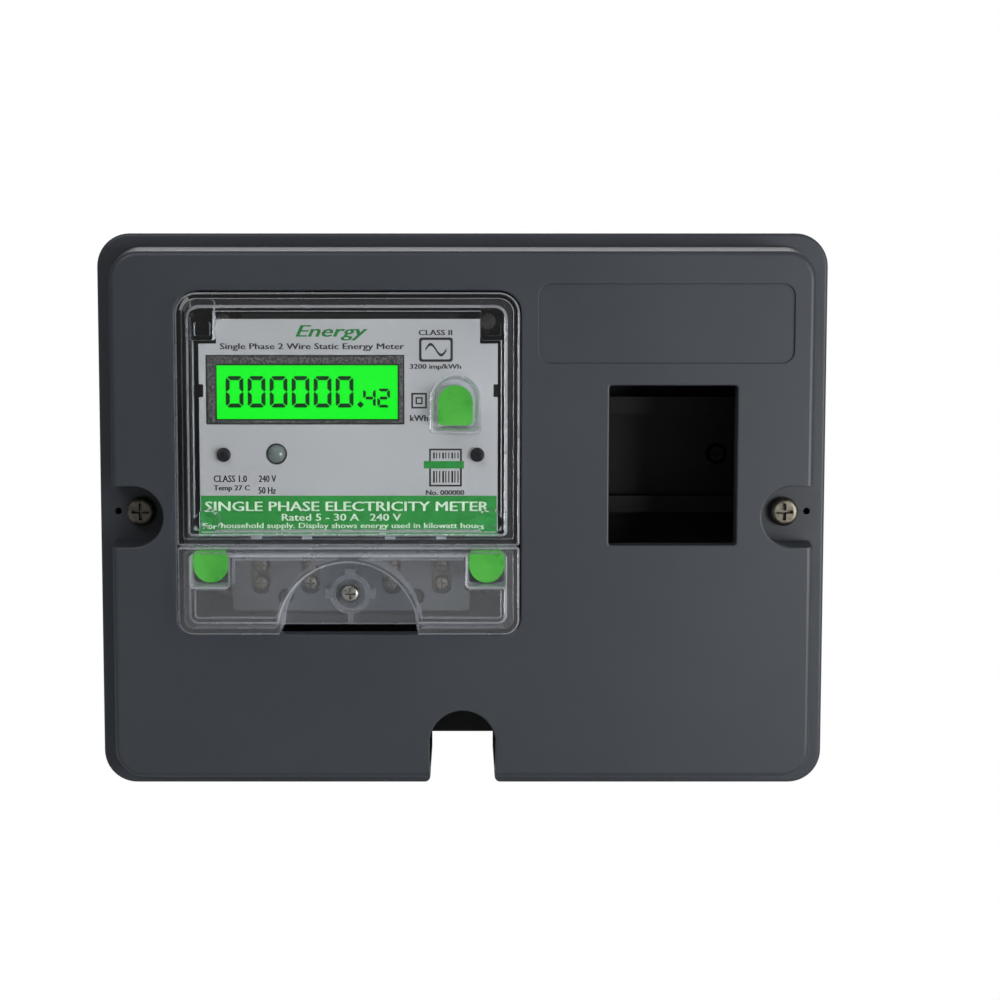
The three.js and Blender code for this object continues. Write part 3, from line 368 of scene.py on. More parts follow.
def ink(name, dark, light, rough=0.5, shine=0.3):
    recipe = Recipe(name)
    blots = recipe.noise(700, 3)
    recipe.set(
        Specular_IOR_Level=shine,
        Base_Color=recipe.ramped(blots, dark, light),
        Roughness=recipe.spread(blots, rough - 0.06, rough + 0.06),
    )
    recipe.bump(blots, 0.1, 0.01)
    return recipe.material


def litCrystal(name):
    recipe = Recipe(name)
    glow = recipe.noise(30, 2)
    recipe.set(
        Base_Color=recipe.ramped(glow, (3, 34, 8), (4, 42, 10)),
        Roughness=recipe.spread(glow, 0.3, 0.4),
        Specular_IOR_Level=0.1,
        Emission_Color=linear(4, 252, 34),
        Emission_Strength=1.0,
    )
    return recipe.material


def glossyPlastic(name, dark, light, rough=0.3, coat=0.3):
    recipe = Recipe(name)
    cloudy = recipe.noise(120, 4)
    recipe.set(
        Base_Color=recipe.ramped(cloudy, dark, light),
        Roughness=recipe.spread(cloudy, rough - 0.05, rough + 0.08),
        Coat_Weight=coat,
        Coat_Roughness=0.15,
    )
    recipe.bump(recipe.noise(500, 2), 0.15, 0.03)
    return recipe.material


def boardMask(name):
    recipe = Recipe(name)
    tracks = recipe.add("TexBrick", Vector=recipe.place, Scale=420)
    lines = recipe.ramp(tracks.outputs["Fac"], [(0.0, linear(11, 15, 13)), (1.0, linear(24, 30, 27))])
    recipe.set(
        Base_Color=lines,
        Roughness=recipe.spread(recipe.noise(300, 2), 0.3, 0.45),
        Coat_Weight=0.4,
    )
    recipe.bump(tracks.outputs["Fac"], 0.3, 0.03)
    return recipe.material


paint = {
    "cover": mouldedPlastic("slate_cover_plastic", (54, 58, 64), (58, 62, 68), 0.42, 2600, 0.03),
    "base": mouldedPlastic("black_box_plastic", (10, 10, 11), (14, 14, 15), 0.5, 2200, 0.03),
    "body": mouldedPlastic("black_meter_plastic", (15, 15, 16), (21, 21, 22), 0.5, 1800, 0.03),
    "block": mouldedPlastic("grey_block_plastic", (86, 89, 91), (98, 101, 103), 0.55, 1500, 0.04),
    "clear": clearPlastic("clear_cover_plastic"),
    "hazy": clearPlastic("hazy_cover_plastic", (212, 213, 216), 0.94, (0.05, 0.12)),
    "frosted": clearPlastic("frosted_edge_plastic", (206, 208, 214), 0.62, (0.2, 0.4)),
    "milky": clearPlastic("milky_rib_plastic", (206, 208, 214), 0.84, (0.1, 0.25)),
    "zinc": plainMetal("zinc_plated_steel", (150, 147, 138), (196, 193, 184), 0.32),
    "dullZinc": plainMetal("dull_zinc_steel", (98, 94, 84), (134, 129, 117), 0.4),
    "blackSteel": plainMetal("blackened_steel", (38, 38, 40), (58, 58, 60), 0.42),
    "brass": plainMetal("terminal_brass", (158, 146, 124), (198, 187, 166), 0.34),
    "copper": plainMetal("shunt_copper", (170, 106, 70), (206, 140, 98), 0.36),
    "plate": silverPlate("silver_label_plate"),
    "frame": speckledPlastic("speckled_display_plastic"),
    "crystal": litCrystal("lit_crystal"),
    "seal": glossyPlastic("green_seal_plastic", (66, 164, 54), (84, 188, 68)),
    "guide": glossyPlastic("milky_guide_plastic", (222, 236, 222), (236, 244, 236)),
    "lamp": glossyPlastic("smoky_lamp_plastic", (84, 94, 91), (110, 121, 117), 0.12, 0.8),
    "board": boardMask("black_board_mask"),
    "yellow": glossyPlastic("yellow_capacitor_plastic", (188, 152, 44), (208, 172, 60)),
    "blue": glossyPlastic("blue_capacitor_sleeve", (34, 62, 120), (48, 82, 142)),
    "chip": mouldedPlastic("black_chip_epoxy", (22, 22, 23), (30, 30, 32), 0.5, 3000, 0.02),
    "blackInk": ink("black_print_ink", (14, 15, 14), (26, 27, 26)),
    "greenInk": ink("green_print_ink", (26, 128, 47), (34, 138, 54), 0.42),
    "nameInk": ink("dark_green_ink", (14, 108, 40), (20, 120, 48), 0.42),
    "whiteInk": ink("white_print_ink", (190, 214, 186), (206, 226, 200), 0.45),
    "digitInk": ink("dark_digit_ink", (2, 40, 10), (3, 50, 13), 0.5, 0.1),
}

nodePaint = {
    "base_box": "base", "breaker_rail": "base", "meter_body": "body", "terminal_block": "block",
    "front_cover": "cover", "meter_cover": "clear", "terminal_cover": "clear",
    "label_plate": "plate", "display_frame": "frame", "lcd_glass": "crystal", "light_guide": "guide",
    "pulse_led": "lamp", "circuit_board": "board", "supply_capacitor": "yellow",
    "bulk_capacitor": "blue", "surge_varistor": "blue", "metering_chip": "chip",
    "phase_shunt": "copper", "neutral_link": "copper",
}
for nodeName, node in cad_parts.items():
    if nodeName.startswith("cover_seal"):
        chosen = "seal"
    elif nodeName.startswith(("rail_screw", "label_screw", "block_screw")):
        chosen = "blackSteel"
    elif nodeName.startswith(("cover_insert", "terminal_cover_insert", "clamp_screw", "terminal_1",
                              "terminal_2", "terminal_3", "terminal_4")):
        chosen = "brass"
    elif "screw" in nodeName:
        chosen = "zinc"
    else:
        chosen = nodePaint[nodeName]
    for slotIndex in range(len(node.data.materials)):
        node.data.materials[slotIndex] = paint[chosen]
print("materials ready")


# camera, light and floor

stage = {
    "elevationDegrees": 5.5,
    "distance": 613,
    "lensMillimetres": 78.3,
    "shift": (0.0375, 0.017),
    "floorDrop": 60,
    "skyFill": 0.18,
}


def aimAt(obj, target):
    direction = Vector(target) * unit - obj.location
    obj.rotation_euler = direction.to_track_quat("-Z", "Y").to_euler()


def addCamera():
    low, high = boxOf("front_cover")
    target = Vector(((low.x + high.x) / 2, low.y, (low.z + high.z) / 2))
    angle = math.radians(stage["elevationDegrees"])
    away = Vector((0, -math.cos(angle), math.sin(angle))) * stage["distance"]
    data = bpy.data.cameras.new("product_camera")
    data.lens = stage["lensMillimetres"]
    data.sensor_width = 36
    data.shift_x, data.shift_y = stage["shift"]
    camera = bpy.data.objects.new("product_camera", data)
    bpy.context.scene.collection.objects.link(camera)
    camera.location = (target + away) * unit
    aimAt(camera, target)
    bpy.context.scene.camera = camera


def addSoftbox(name, place, size, watts):
    data = bpy.data.lights.new(name, "AREA")
    data.shape = "RECTANGLE"
    data.size, data.size_y = size[0] * unit, size[1] * unit
    data.energy = watts
    lamp = bpy.data.objects.new(name, data)
    bpy.context.scene.collection.objects.link(lamp)
    lamp.location = Vector(place) * unit
    aimAt(lamp, (0, -40, 0))


def addWorld():
    world = bpy.data.worlds.new("studio")
    bpy.context.scene.world = world
    world.use_nodes = True
    tree = world.node_tree
    tree.nodes.clear()
    output = tree.nodes.new("ShaderNodeOutputWorld")
    mix = tree.nodes.new("ShaderNodeMixShader")
    for slotIndex, strength in ((1, stage["skyFill"]), (2, 1.0)):  # what lights the scene, what is seen
        sky = tree.nodes.new("ShaderNodeBackground")
        sky.inputs["Color"].default_value = (1, 1, 1, 1)
        sky.inputs["Strength"].default_value = strength
        tree.links.new(sky.outputs["Background"], mix.inputs[slotIndex])
    ray = tree.nodes.new("ShaderNodeLightPath")
    tree.links.new(ray.outputs["Is Camera Ray"], mix.inputs["Fac"])
    tree.links.new(mix.outputs["Shader"], output.inputs["Surface"])


def addFloor():
    low, high = cadBounds
    bpy.ops.mesh.primitive_plane_add(size=8, location=(0, 0, low[2] - stage["floorDrop"] * unit))
    floor = placeNow(bpy.context.object, "floor")
    recipe = Recipe("pale_floor")
    recipe.set(
        Base_Color=linear(200, 202, 205),
        Roughness=recipe.spread(recipe.noise(3, 2), 0.75, 0.85),
    )
    # looked at directly it is as white as the studio
    recipe.mixIn("Is Camera Ray", recipe.add("Emission", Color=(1, 1, 1, 1), Strength=1.0))
    floor.data.materials.append(recipe.material)


addCamera()
addWorld()
addFloor()
for boxName, place, size, watts in (
        ("key", (-500, -900, 900), (700, 500), 4.5), ("fill", (900, -700, 300), (500, 700), 2),
        ("low", (450, -560, -20), (300, 200), 2.5), ("back", (0, 900, 900), (900, 500), 7)):
    addSoftbox(boxName + "_softbox", place, size, watts)
bpy.context.scene.view_settings.view_transform = "Standard"
print("stage ready")


# front cover

coverValues = {
    "cornerRadius": 9.5, "rimBehindPanel": 18, "rimThickness": 2, "skirtWall": 2, "rimFillet": 1,
    "sideMargin": 4.2, "endMargin": 3.5, "panelRadius": 8.5, "draft": 2, "panelFillet": 1.5,
    "panelThickness": 2.5, "wall": 2.2,
    "pocketFromSide": 12, "pocketRadius": 8.6, "pocketWall": 2, "screwHoleRadius": 2.4,
    "wireHoleRadius": 1, "wireHoleInset": 5.2,
    "meterGap": 0.5, "meterTopRadius": 6.5, "meterBottomRadius": 4.8,
    "windowSize": (36, 45), "windowFromRight": 45.8, "windowAbove": 14.5,
    "labelSize": (71.5, 22.1), "labelFromRight": 47.8, "labelFromTop": 25.7, "labelRadius": 3.4,
    "labelDepth": 0.6,
    "gateHalfWidth": 9.4, "gateArchDrop": 64.8, "gateFlare": 2,
    "collarWall": 1.6, "collarDepth": 4, "lip": 0.45,
}


def roundedBoxPiece(name, low, high, radius, segments=10):
    box = addBox(name, low, high)
    roundCorners(box, radius, segments)
    return box


def gateBox(name, halfWidth, front, back, foot, archZ):
    # half-round top: both upper corners take nearly the whole half width
    gate = addBox(name, (-halfWidth, front, foot), (halfWidth, back, archZ + halfWidth))
    roundCorners(gate, halfWidth - 0.01, 16, lambda c: c.z > archZ)
    return gate


def slotBox(name, side, radius, front, back, centre, mouth):
    low, high = sorted((side * (centre - radius), side * mouth))
    slot = addBox(name, (low, front, -radius), (high, back, radius))
    inner = side * (centre - radius)
    roundCorners(slot, radius - 0.01, 16, lambda c: abs(c.x - inner) < 0.1)
    return slot


def makeFrontCover():
    v = coverValues
    low, high = boxOf("front_cover")
    front = low.y
    rimFront = front + v["rimBehindPanel"]
    rimBack = rimFront + v["rimThickness"]
    panelBack = front + v["panelThickness"]
    collarBack = panelBack + v["collarDepth"]
    left, right = low.x + v["sideMargin"], high.x - v["sideMargin"]
    bottom, top = low.z + v["endMargin"], high.z - v["endMargin"]
    meterLow, meterHigh = boxOf("meter_cover")
    lidLow = boxOf("terminal_cover")[0]

    shell = roundedBoxPiece("front_cover_shell", (low.x, rimFront, low.z), high, v["cornerRadius"], 12)
    roundFront(shell, rimFront, v["rimFillet"], 4)
    panel = roundedBoxPiece("panel", (left, front, bottom), (right, rimBack, top), v["panelRadius"], 12)
    growFace(panel, front, -v["draft"])
    roundFront(panel, front, v["panelFillet"], 5)
    uniteWith(shell, panel)

    skirt = v["skirtWall"]
    skirtHollow = roundedBoxPiece(
        "skirt_hollow", (low.x + skirt, rimBack, low.z + skirt),
        (high.x - skirt, high.y + 1, high.z - skirt), v["cornerRadius"] - skirt, 12)
    wall = v["wall"]
    hollow = roundedBoxPiece(
        "hollow", (left + wall, panelBack, bottom + wall), (right - wall, rimBack + 0.5, top - wall),
        v["panelRadius"] - wall, 12)
    growFace(hollow, panelBack, -v["draft"])

    def meterHole(grow, y0, y1):
        hole = v["meterGap"] + grow
        box = addBox("meter_hole", (meterLow.x - hole, y0, lidLow.z - hole),
                     (meterHigh.x + hole, y1, meterHigh.z + hole))
        middle = (lidLow.z + meterHigh.z) / 2
        roundCorners(box, v["meterTopRadius"] + grow, 8, lambda c: c.z > middle)
        roundCorners(box, v["meterBottomRadius"] + grow, 8, lambda c: c.z < middle)
        return box

    def windowHole(grow, y0, y1):
        x = high.x - v["windowFromRight"]
        halfWidth, halfHeight = (s / 2 + grow for s in v["windowSize"])
        return roundedBoxPiece("window_hole", (x - halfWidth, y0, v["windowAbove"] - halfHeight),
                               (x + halfWidth, y1, v["windowAbove"] + halfHeight), 0.8 + grow, 5)

    archZ = -v["gateArchDrop"]
    pocketX = high.x - v["pocketFromSide"]
    collar = v["collarWall"]
    cutWith(hollow, meterHole(collar, panelBack - 1, collarBack),
            windowHole(collar, panelBack - 1, collarBack))
    cutWith(hollow, gateBox("gate_collar", v["gateHalfWidth"] + collar, panelBack - 1, collarBack,
                            low.z - 5, archZ))
    for side in (-1, 1):
        cutWith(hollow, slotBox("pocket_wall", side, v["pocketRadius"] + v["pocketWall"],
                                panelBack - 1, rimBack + 1, pocketX, high.x + 5))
    cutWith(shell, skirtHollow, hollow)

    lip = v["lip"]
    cutWith(shell, lipCutter(meterHole(0, front + lip, collarBack + 1), front, lip))
    cutWith(shell, lipCutter(windowHole(0, front + lip, collarBack + 1), front, lip))
    gate = gateBox("gate", v["gateHalfWidth"], front + lip, high.y + 1, low.z + v["gateFlare"], archZ)
    flareDown(gate, low.z + v["gateFlare"], v["gateFlare"])
    cutWith(shell, lipCutter(gate, front, lip))
    for side in (-1, 1):
        slot = slotBox("pocket", side, v["pocketRadius"], front + lip, rimFront, pocketX, high.x + 5)
        cutWith(shell, lipCutter(slot, front, lip))
        cutWith(shell, addRod("screw_hole", v["screwHoleRadius"], rimFront - 1, rimBack + 1,
                              side * pocketX, 0))
        cutWith(shell, addRod("wire_hole", v["wireHoleRadius"], rimFront - 1, rimBack + 1,
                              side * (high.x - v["wireHoleInset"]), 0, 20))
    labelX, labelZ = high.x - v["labelFromRight"], high.z - v["labelFromTop"]
    halfWidth, halfHeight = (s / 2 for s in v["labelSize"])
    recess = roundedBoxPiece("recess", (labelX - halfWidth, front + 0.25, labelZ - halfHeight),
                             (labelX + halfWidth, front + v["labelDepth"], labelZ + halfHeight),
                             v["labelRadius"], 8)
    cutWith(shell, lipCutter(recess, front, 0.25, 3))
    smooth(shell, 32)
    return finish(shell, paint["cover"], "box_front", ["front_cover"])


def flareDown(obj, level, radius, steps=5):
    # feet that curve outwards below level
    def selectFoot(z):
        selectFaces(obj, lambda c, n: abs(c.z - z) < near and n.z < -0.9)

    for done, down, wide in quarterSteps(radius, steps):
        selectFoot(level - done)
        xs = [v.co.x / unit for v in bmesh.from_edit_mesh(obj.data).verts if v.select]
        width = max(xs) - min(xs)
        bpy.ops.mesh.extrude_region_move(TRANSFORM_OT_translate={"value": (0, 0, -down * unit)})
        bpy.ops.transform.resize(value=((width + 2 * wide) / width, 1, 1), center_override=(0, 0, 0))
        endEdit()
    selectFoot(level - radius)
    bpy.ops.mesh.extrude_region_move(TRANSFORM_OT_translate={"value": (0, 0, -3 * unit)})
    endEdit()


makeFrontCover()
print("front cover done")


# outlines

def flatPiece(name, loops, front, back):
    # closed outlines in the front view, the first one filled and the others holes, made a thin plate
    curve = bpy.data.curves.new(name, "CURVE")
    curve.dimensions = "2D"
    curve.fill_mode = "BOTH"
    curve.extrude = (back - front) / 2 * unit
    for loop in loops:
        spline = curve.splines.new("POLY")
        spline.points.add(len(loop) - 1)
        for point, (x, z) in zip(spline.points, loop):
            point.co = (x * unit, z * unit, 0, 1)
        spline.use_cyclic_u = True
    plate = bpy.data.objects.new(name, curve)
    bpy.context.scene.collection.objects.link(plate)
    selectOnly(plate)
    bpy.ops.object.convert(target="MESH")
    plate = bpy.context.object
    plate.rotation_euler = (math.pi / 2, 0, 0)
    plate.location = (0, (front + back) / 2 * unit, 0)
    placeNow(plate, name)
    startEdit(plate, "VERT")
    bpy.ops.mesh.select_all(action="SELECT")
    bpy.ops.mesh.remove_doubles(threshold=0.002 * unit)
    bpy.ops.mesh.normals_make_consistent(inside=False)
    endEdit()
    return plate


def arcPoints(x, z, radius, start, end, steps):
    return [(x + radius * math.cos(math.radians(start + (end - start) * i / steps)),
             z + radius * math.sin(math.radians(start + (end - start) * i / steps)))
            for i in range(steps + 1)]


def circleLoop(x, z, radius, steps=24):
    return arcPoints(x, z, radius, 0, 360, steps)[:-1]


def boxLoop(x0, z0, x1, z1):
    return [(x0, z0), (x1, z0), (x1, z1), (x0, z1)]


def roundLoop(x0, z0, x1, z1, low, high=None, steps=8):
    high = low if high is None else high
    return (arcPoints(x0 + low, z0 + low, low, 180, 270, steps)
            + arcPoints(x1 - low, z0 + low, low, 270, 360, steps)
            + arcPoints(x1 - high, z1 - high, high, 0, 90, steps)
            + arcPoints(x0 + high, z1 - high, high, 90, 180, steps))


def dLoop(x, halfWidth, flatZ, height, up, corner=0.8, steps=16):
    # a flat side at flatZ and a half-round end height away from it
    turn = 1 if up else -1
    endZ = height - halfWidth
    loop = arcPoints(-halfWidth + corner, corner, corner, 180, 270, 4)
    loop += arcPoints(halfWidth - corner, corner, corner, 270, 360, 4)
    loop += arcPoints(0, endZ, halfWidth, 0, 180, steps)
    return [(x + px, flatZ + turn * pz) for px, pz in (loop if up else reversed(loop))]


def printText(name, words, x, z, height, front, width=None, lean=0.0, bold=0.0):
    # a line of print centred at x, z, made bold by copies a little to each side
    bpy.ops.object.text_add()
    line = bpy.context.object
    line.data.body = words
    line.data.size = 1
    line.data.align_x = "CENTER"
    line.data.align_y = "CENTER"
    line.data.shear = lean
    line.data.resolution_u = 2
    bpy.ops.object.convert(target="MESH")
    line = bpy.context.object
    xs = [v.co.x for v in line.data.vertices]
    ys = [v.co.y for v in line.data.vertices]
    tall = height / (max(ys) - min(ys))
    wide = width / (max(xs) - min(xs)) if width else tall
    line.scale = (wide * unit, tall * unit, 1)
    line.location = ((x - wide * (max(xs) + min(xs)) / 2) * unit, (front - 0.02) * unit,
                     (z - tall * (max(ys) + min(ys)) / 2) * unit)
    line.rotation_euler = (math.pi / 2, 0, 0)
    placeNow(line, name)
    copies = [line]
    for i, shift in enumerate((-bold, bold) if bold else ()):
        selectOnly(line)
        bpy.ops.object.duplicate(linked=False)
        copy = bpy.context.object
        copy.location = (shift * unit, -0.006 * (i + 1) * unit, 0)
        copies.append(placeNow(copy, name))
    return joinAll(name, copies)


# clear covers

clearValues = {
    "wall": 1.6, "stepHeight": 4, "stepInset": 3.5, "splitInset": 2.9, "lidInset": 1.5, "skirt": 14,
    "topRadius": 6, "bottomRadius": 4.3, "flangeFillet": 0.8, "faceFillet": 1.3,
    "faceTopRadius": 3.6, "faceBottomRadius": 2.6,
    "postX": 39.6, "lowPostZ": -16, "postRadius": 3.5, "postBore": 1.8, "postDepth": 5.4,
    "wellFloor": 4, "wellWall": 1.2,
    "topWellX": 30, "topWellZ": 8.6, "topWellHalf": 7.5, "topWellHeight": 17.3,
    "lowSealOut": 0.55, "lowWellX": 38.7, "lowWellHalf": 6.4, "lowWellBottom": -35, "lowWellTopWall": 0.6,
    "hookLeft": 37.1, "hookRight": 43.9, "hookLow": 34.7, "hookHigh": 45.8, "hookWall": 1.2,
    "tabHalf": 1.42, "tabHeight": 1.5, "tabFoot": 1.6, "tabBack": 5,
    "pinX": 6.6, "pinZ": 11.4, "pinRadius": 1.05,
    "legSpacing": 5.4, "legWidth": 3, "legThickness": 1.8,
    "archRadius": 20.6, "archRise": 1.3, "archLean": 3.44, "archWall": 1.2,
    "archFloor": 11, "archFloorThickness": 1.4, "archLip": 1.5,
    "ringRadius": 5.7, "ringWall": 1.3, "ringHeight": 2.2, "screwAbove": 10.5, "web": 1.2,
    "frostDepth": 1.2, "hookFrostDepth": 6, "tabFrostHeight": 3, "archFrostRadius": 30, "ringMilkyRadius": 8,
}


def meterFrame():
    # the meter's own centre and the front of its flange
    low, high = boxOf("meter_cover")
    lidLow = boxOf("terminal_cover")[0]
    return (low.x + high.x) / 2, low.y + clearValues["stepHeight"], (lidLow.z + high.z) / 2


meterX, meterY, meterZ = meterFrame()


def meterBox(name, x0, y0, z0, x1, y1, z1):
    return addBox(name, (meterX + x0, meterY + y0, meterZ + z0), (meterX + x1, meterY + y1, meterZ + z1))


def meterRod(name, radius, front, back, x, z, sides=32):
    return addRod(name, radius, meterY + front, meterY + back, meterX + x, meterZ + z, sides)


def meterPlate(name, loops, front, back):
    return flatPiece(name, [[(meterX + x, meterZ + z) for x, z in loop] for loop in loops],
                     meterY + front, meterY + back)


def softBlock(name, x0, y0, z0, x1, y1, z1, topRadius, bottomRadius, fillet):
    # a block with rounded corners in the front view and a rounded front edge
    block = meterBox(name, x0, y0, z0, x1, y1, z1)
    middle = meterZ + (z0 + z1) / 2
    roundCorners(block, topRadius, 8, lambda c: c.z > middle)
    roundCorners(block, bottomRadius, 8, lambda c: c.z < middle)
    if fillet:
        roundFront(block, meterY + y0, fillet, 4)
    return block


def clearShell(name, bottom, top, topRadius, bottomRadius, bottomInset, topInset, half):
    v = clearValues
    inset, wall, step = v["stepInset"], v["wall"], v["stepHeight"]
    flange = softBlock(name, -half, 0, bottom, half, v["skirt"], top, topRadius, bottomRadius,
                       v["flangeFillet"])
    faceTop = v["faceTopRadius"] if topRadius > 2 else 1.5
    faceBottom = v["faceBottomRadius"] if bottomRadius > 2 else 1.5
    face = softBlock("face", -half + inset, -step, bottom + bottomInset, half - inset, wall, top - topInset,
                     faceTop, faceBottom, v["faceFillet"])
    uniteWith(flange, face)
    flangeHollow = softBlock("flange_hollow", -half + wall, wall, bottom + wall, half - wall, v["skirt"] + 1,
                             top - wall, max(topRadius - wall, 0.4), max(bottomRadius - wall, 0.4), 0.3)
    faceHollow = softBlock("face_hollow", -half + inset + wall, -step + wall, bottom + bottomInset + wall,
                           half - inset - wall, wall + 0.5, top - topInset - wall,
                           max(faceTop - wall, 0.5), max(faceBottom - wall, 0.5), 0.3)
    uniteWith(flangeHollow, faceHollow)
    return flange, flangeHollow


def legHoles(x, z):
    v = clearValues
    return [meterBox("leg_hole", x + side * v["legSpacing"] / 2 - v["legThickness"] / 2, v["wellFloor"] - 1,
                     z - v["legWidth"] / 2, x + side * v["legSpacing"] / 2 + v["legThickness"] / 2,
                     v["wellFloor"] + v["wellWall"] + 1, z + v["legWidth"] / 2) for side in (-1, 1)]


def sealMiddle(node):
    return middleOf(node)[1] - meterZ


def makeMeterCover():
    v = clearValues
    low, high = boxOf("meter_cover")
    half = (high.x - low.x) / 2
    bottom, top = low.z - meterZ, high.z - meterZ
    shell, hollow = clearShell("meter_cover_shell", bottom, top, v["topRadius"], 0.8, v["splitInset"],
                               v["stepInset"], half)
    wall, floor = v["wellWall"], v["wellFloor"]
    tube = meterPlate("well_tube", [dLoop(v["topWellX"], v["topWellHalf"], v["topWellZ"],
                                          v["topWellHeight"], True, 1.6)], -3, floor + wall)
    cutWith(hollow, tube)
    for side in (-1, 1):
        cutWith(hollow, meterRod("post", v["postRadius"], -3, v["postDepth"], side * v["postX"],
                                 v["lowPostZ"], 40))
        cutWith(hollow, meterRod("pin", v["pinRadius"], -3, v["postDepth"], v["topWellX"] + side * v["pinX"],
                                 v["pinZ"], 24))
        x0, x1 = sorted((side * v["hookLeft"], side * v["hookRight"]))
        for terminal in (1, 2, 3, 4):
            x = middleOf(f"terminal_{terminal}")[0] - meterX
            if x * side > 0:
                cutWith(hollow, meterBox("tab", x - v["tabHalf"], 1, bottom + v["tabFoot"], x + v["tabHalf"],
                                         v["tabBack"], bottom + v["tabFoot"] + v["tabHeight"]))
        hook = meterBox("hook", x0, -3, v["hookLow"], x1, v["postDepth"], v["hookHigh"])
        roundCorners(hook, 0.8, 4)
        cutWith(hollow, hook)
    cutWith(shell, hollow)
    well = meterPlate("well", [dLoop(v["topWellX"], v["topWellHalf"] - wall, v["topWellZ"] + wall,
                                     v["topWellHeight"] - 2 * wall, True, 1.2)], -3, floor)
    growFace(well, meterY + floor, -0.9, side=1)
    lipCutter(well, meterY - v["stepHeight"], 1, 4)
    cutWith(shell, well)
    cutWith(shell, *legHoles(v["topWellX"], sealMiddle("cover_seal_top")))
    for side in (-1, 1):
        cutWith(shell, meterRod("bore", v["postBore"], 0, v["postDepth"] + 1, side * v["postX"],
                                v["lowPostZ"], 20))
        wall = v["hookWall"]
        x0, x1 = sorted((side * v["hookLeft"], side * v["hookRight"]))
        room = meterBox("hook_room", x0 + wall, 2, v["hookLow"] + wall, x1 - wall, v["postDepth"] + 1,
                        v["hookLow"] + 5)
        roundCorners(room, 0.5, 3)
        cutWith(shell, room)
    cutWith(shell, meterBox("divider_room", -half + v["wall"], 7, bottom - 1, half - v["wall"],
                            v["skirt"] + 1, bottom + v["wall"] + 1))
    smooth(shell, 30)
    finish(shell, paint["clear"], "meter_window", ["meter_cover"])
    frostEdges(
        shell,
        lambda c: (c.y < meterY + v["frostDepth"]
                   or c.z > meterZ + v["hookLow"] and c.y < meterY + v["hookFrostDepth"]),
        lambda c: abs(c.y - meterY - v["tabBack"]) < near and c.z < meterZ + bottom + v["tabFrostHeight"],
        paint["frosted"])


def archLoop(radius, foot):
    # an arc whose legs lean outwards down to foot below the cover's edge
    lean = clearValues["archLean"]
    edge = -meterLidHalf()
    arc = arcPoints(0, edge + clearValues["archRise"], radius, lean, 180 - lean, 48)
    x, z = arc[0]
    footX = x + (z - edge + foot) * math.tan(math.radians(lean))
    return [(-footX, edge - foot), (footX, edge - foot)] + arc


def meterLidHalf():
    low, high = boxOf("terminal_cover")
    return meterZ - low.z


def frostEdges(obj, sides, ribs, ribPaint):
    # moulded edges and ribs look frosted or milky, flat faces stay clear
    obj.data.materials.append(paint["frosted"])
    obj.data.materials.append(ribPaint)
    for face in obj.data.polygons:
        centre = face.center / unit
        if ribs(centre):
            face.material_index = 2
        elif abs(face.normal.y) < 0.93 and sides(centre):
            face.material_index = 1


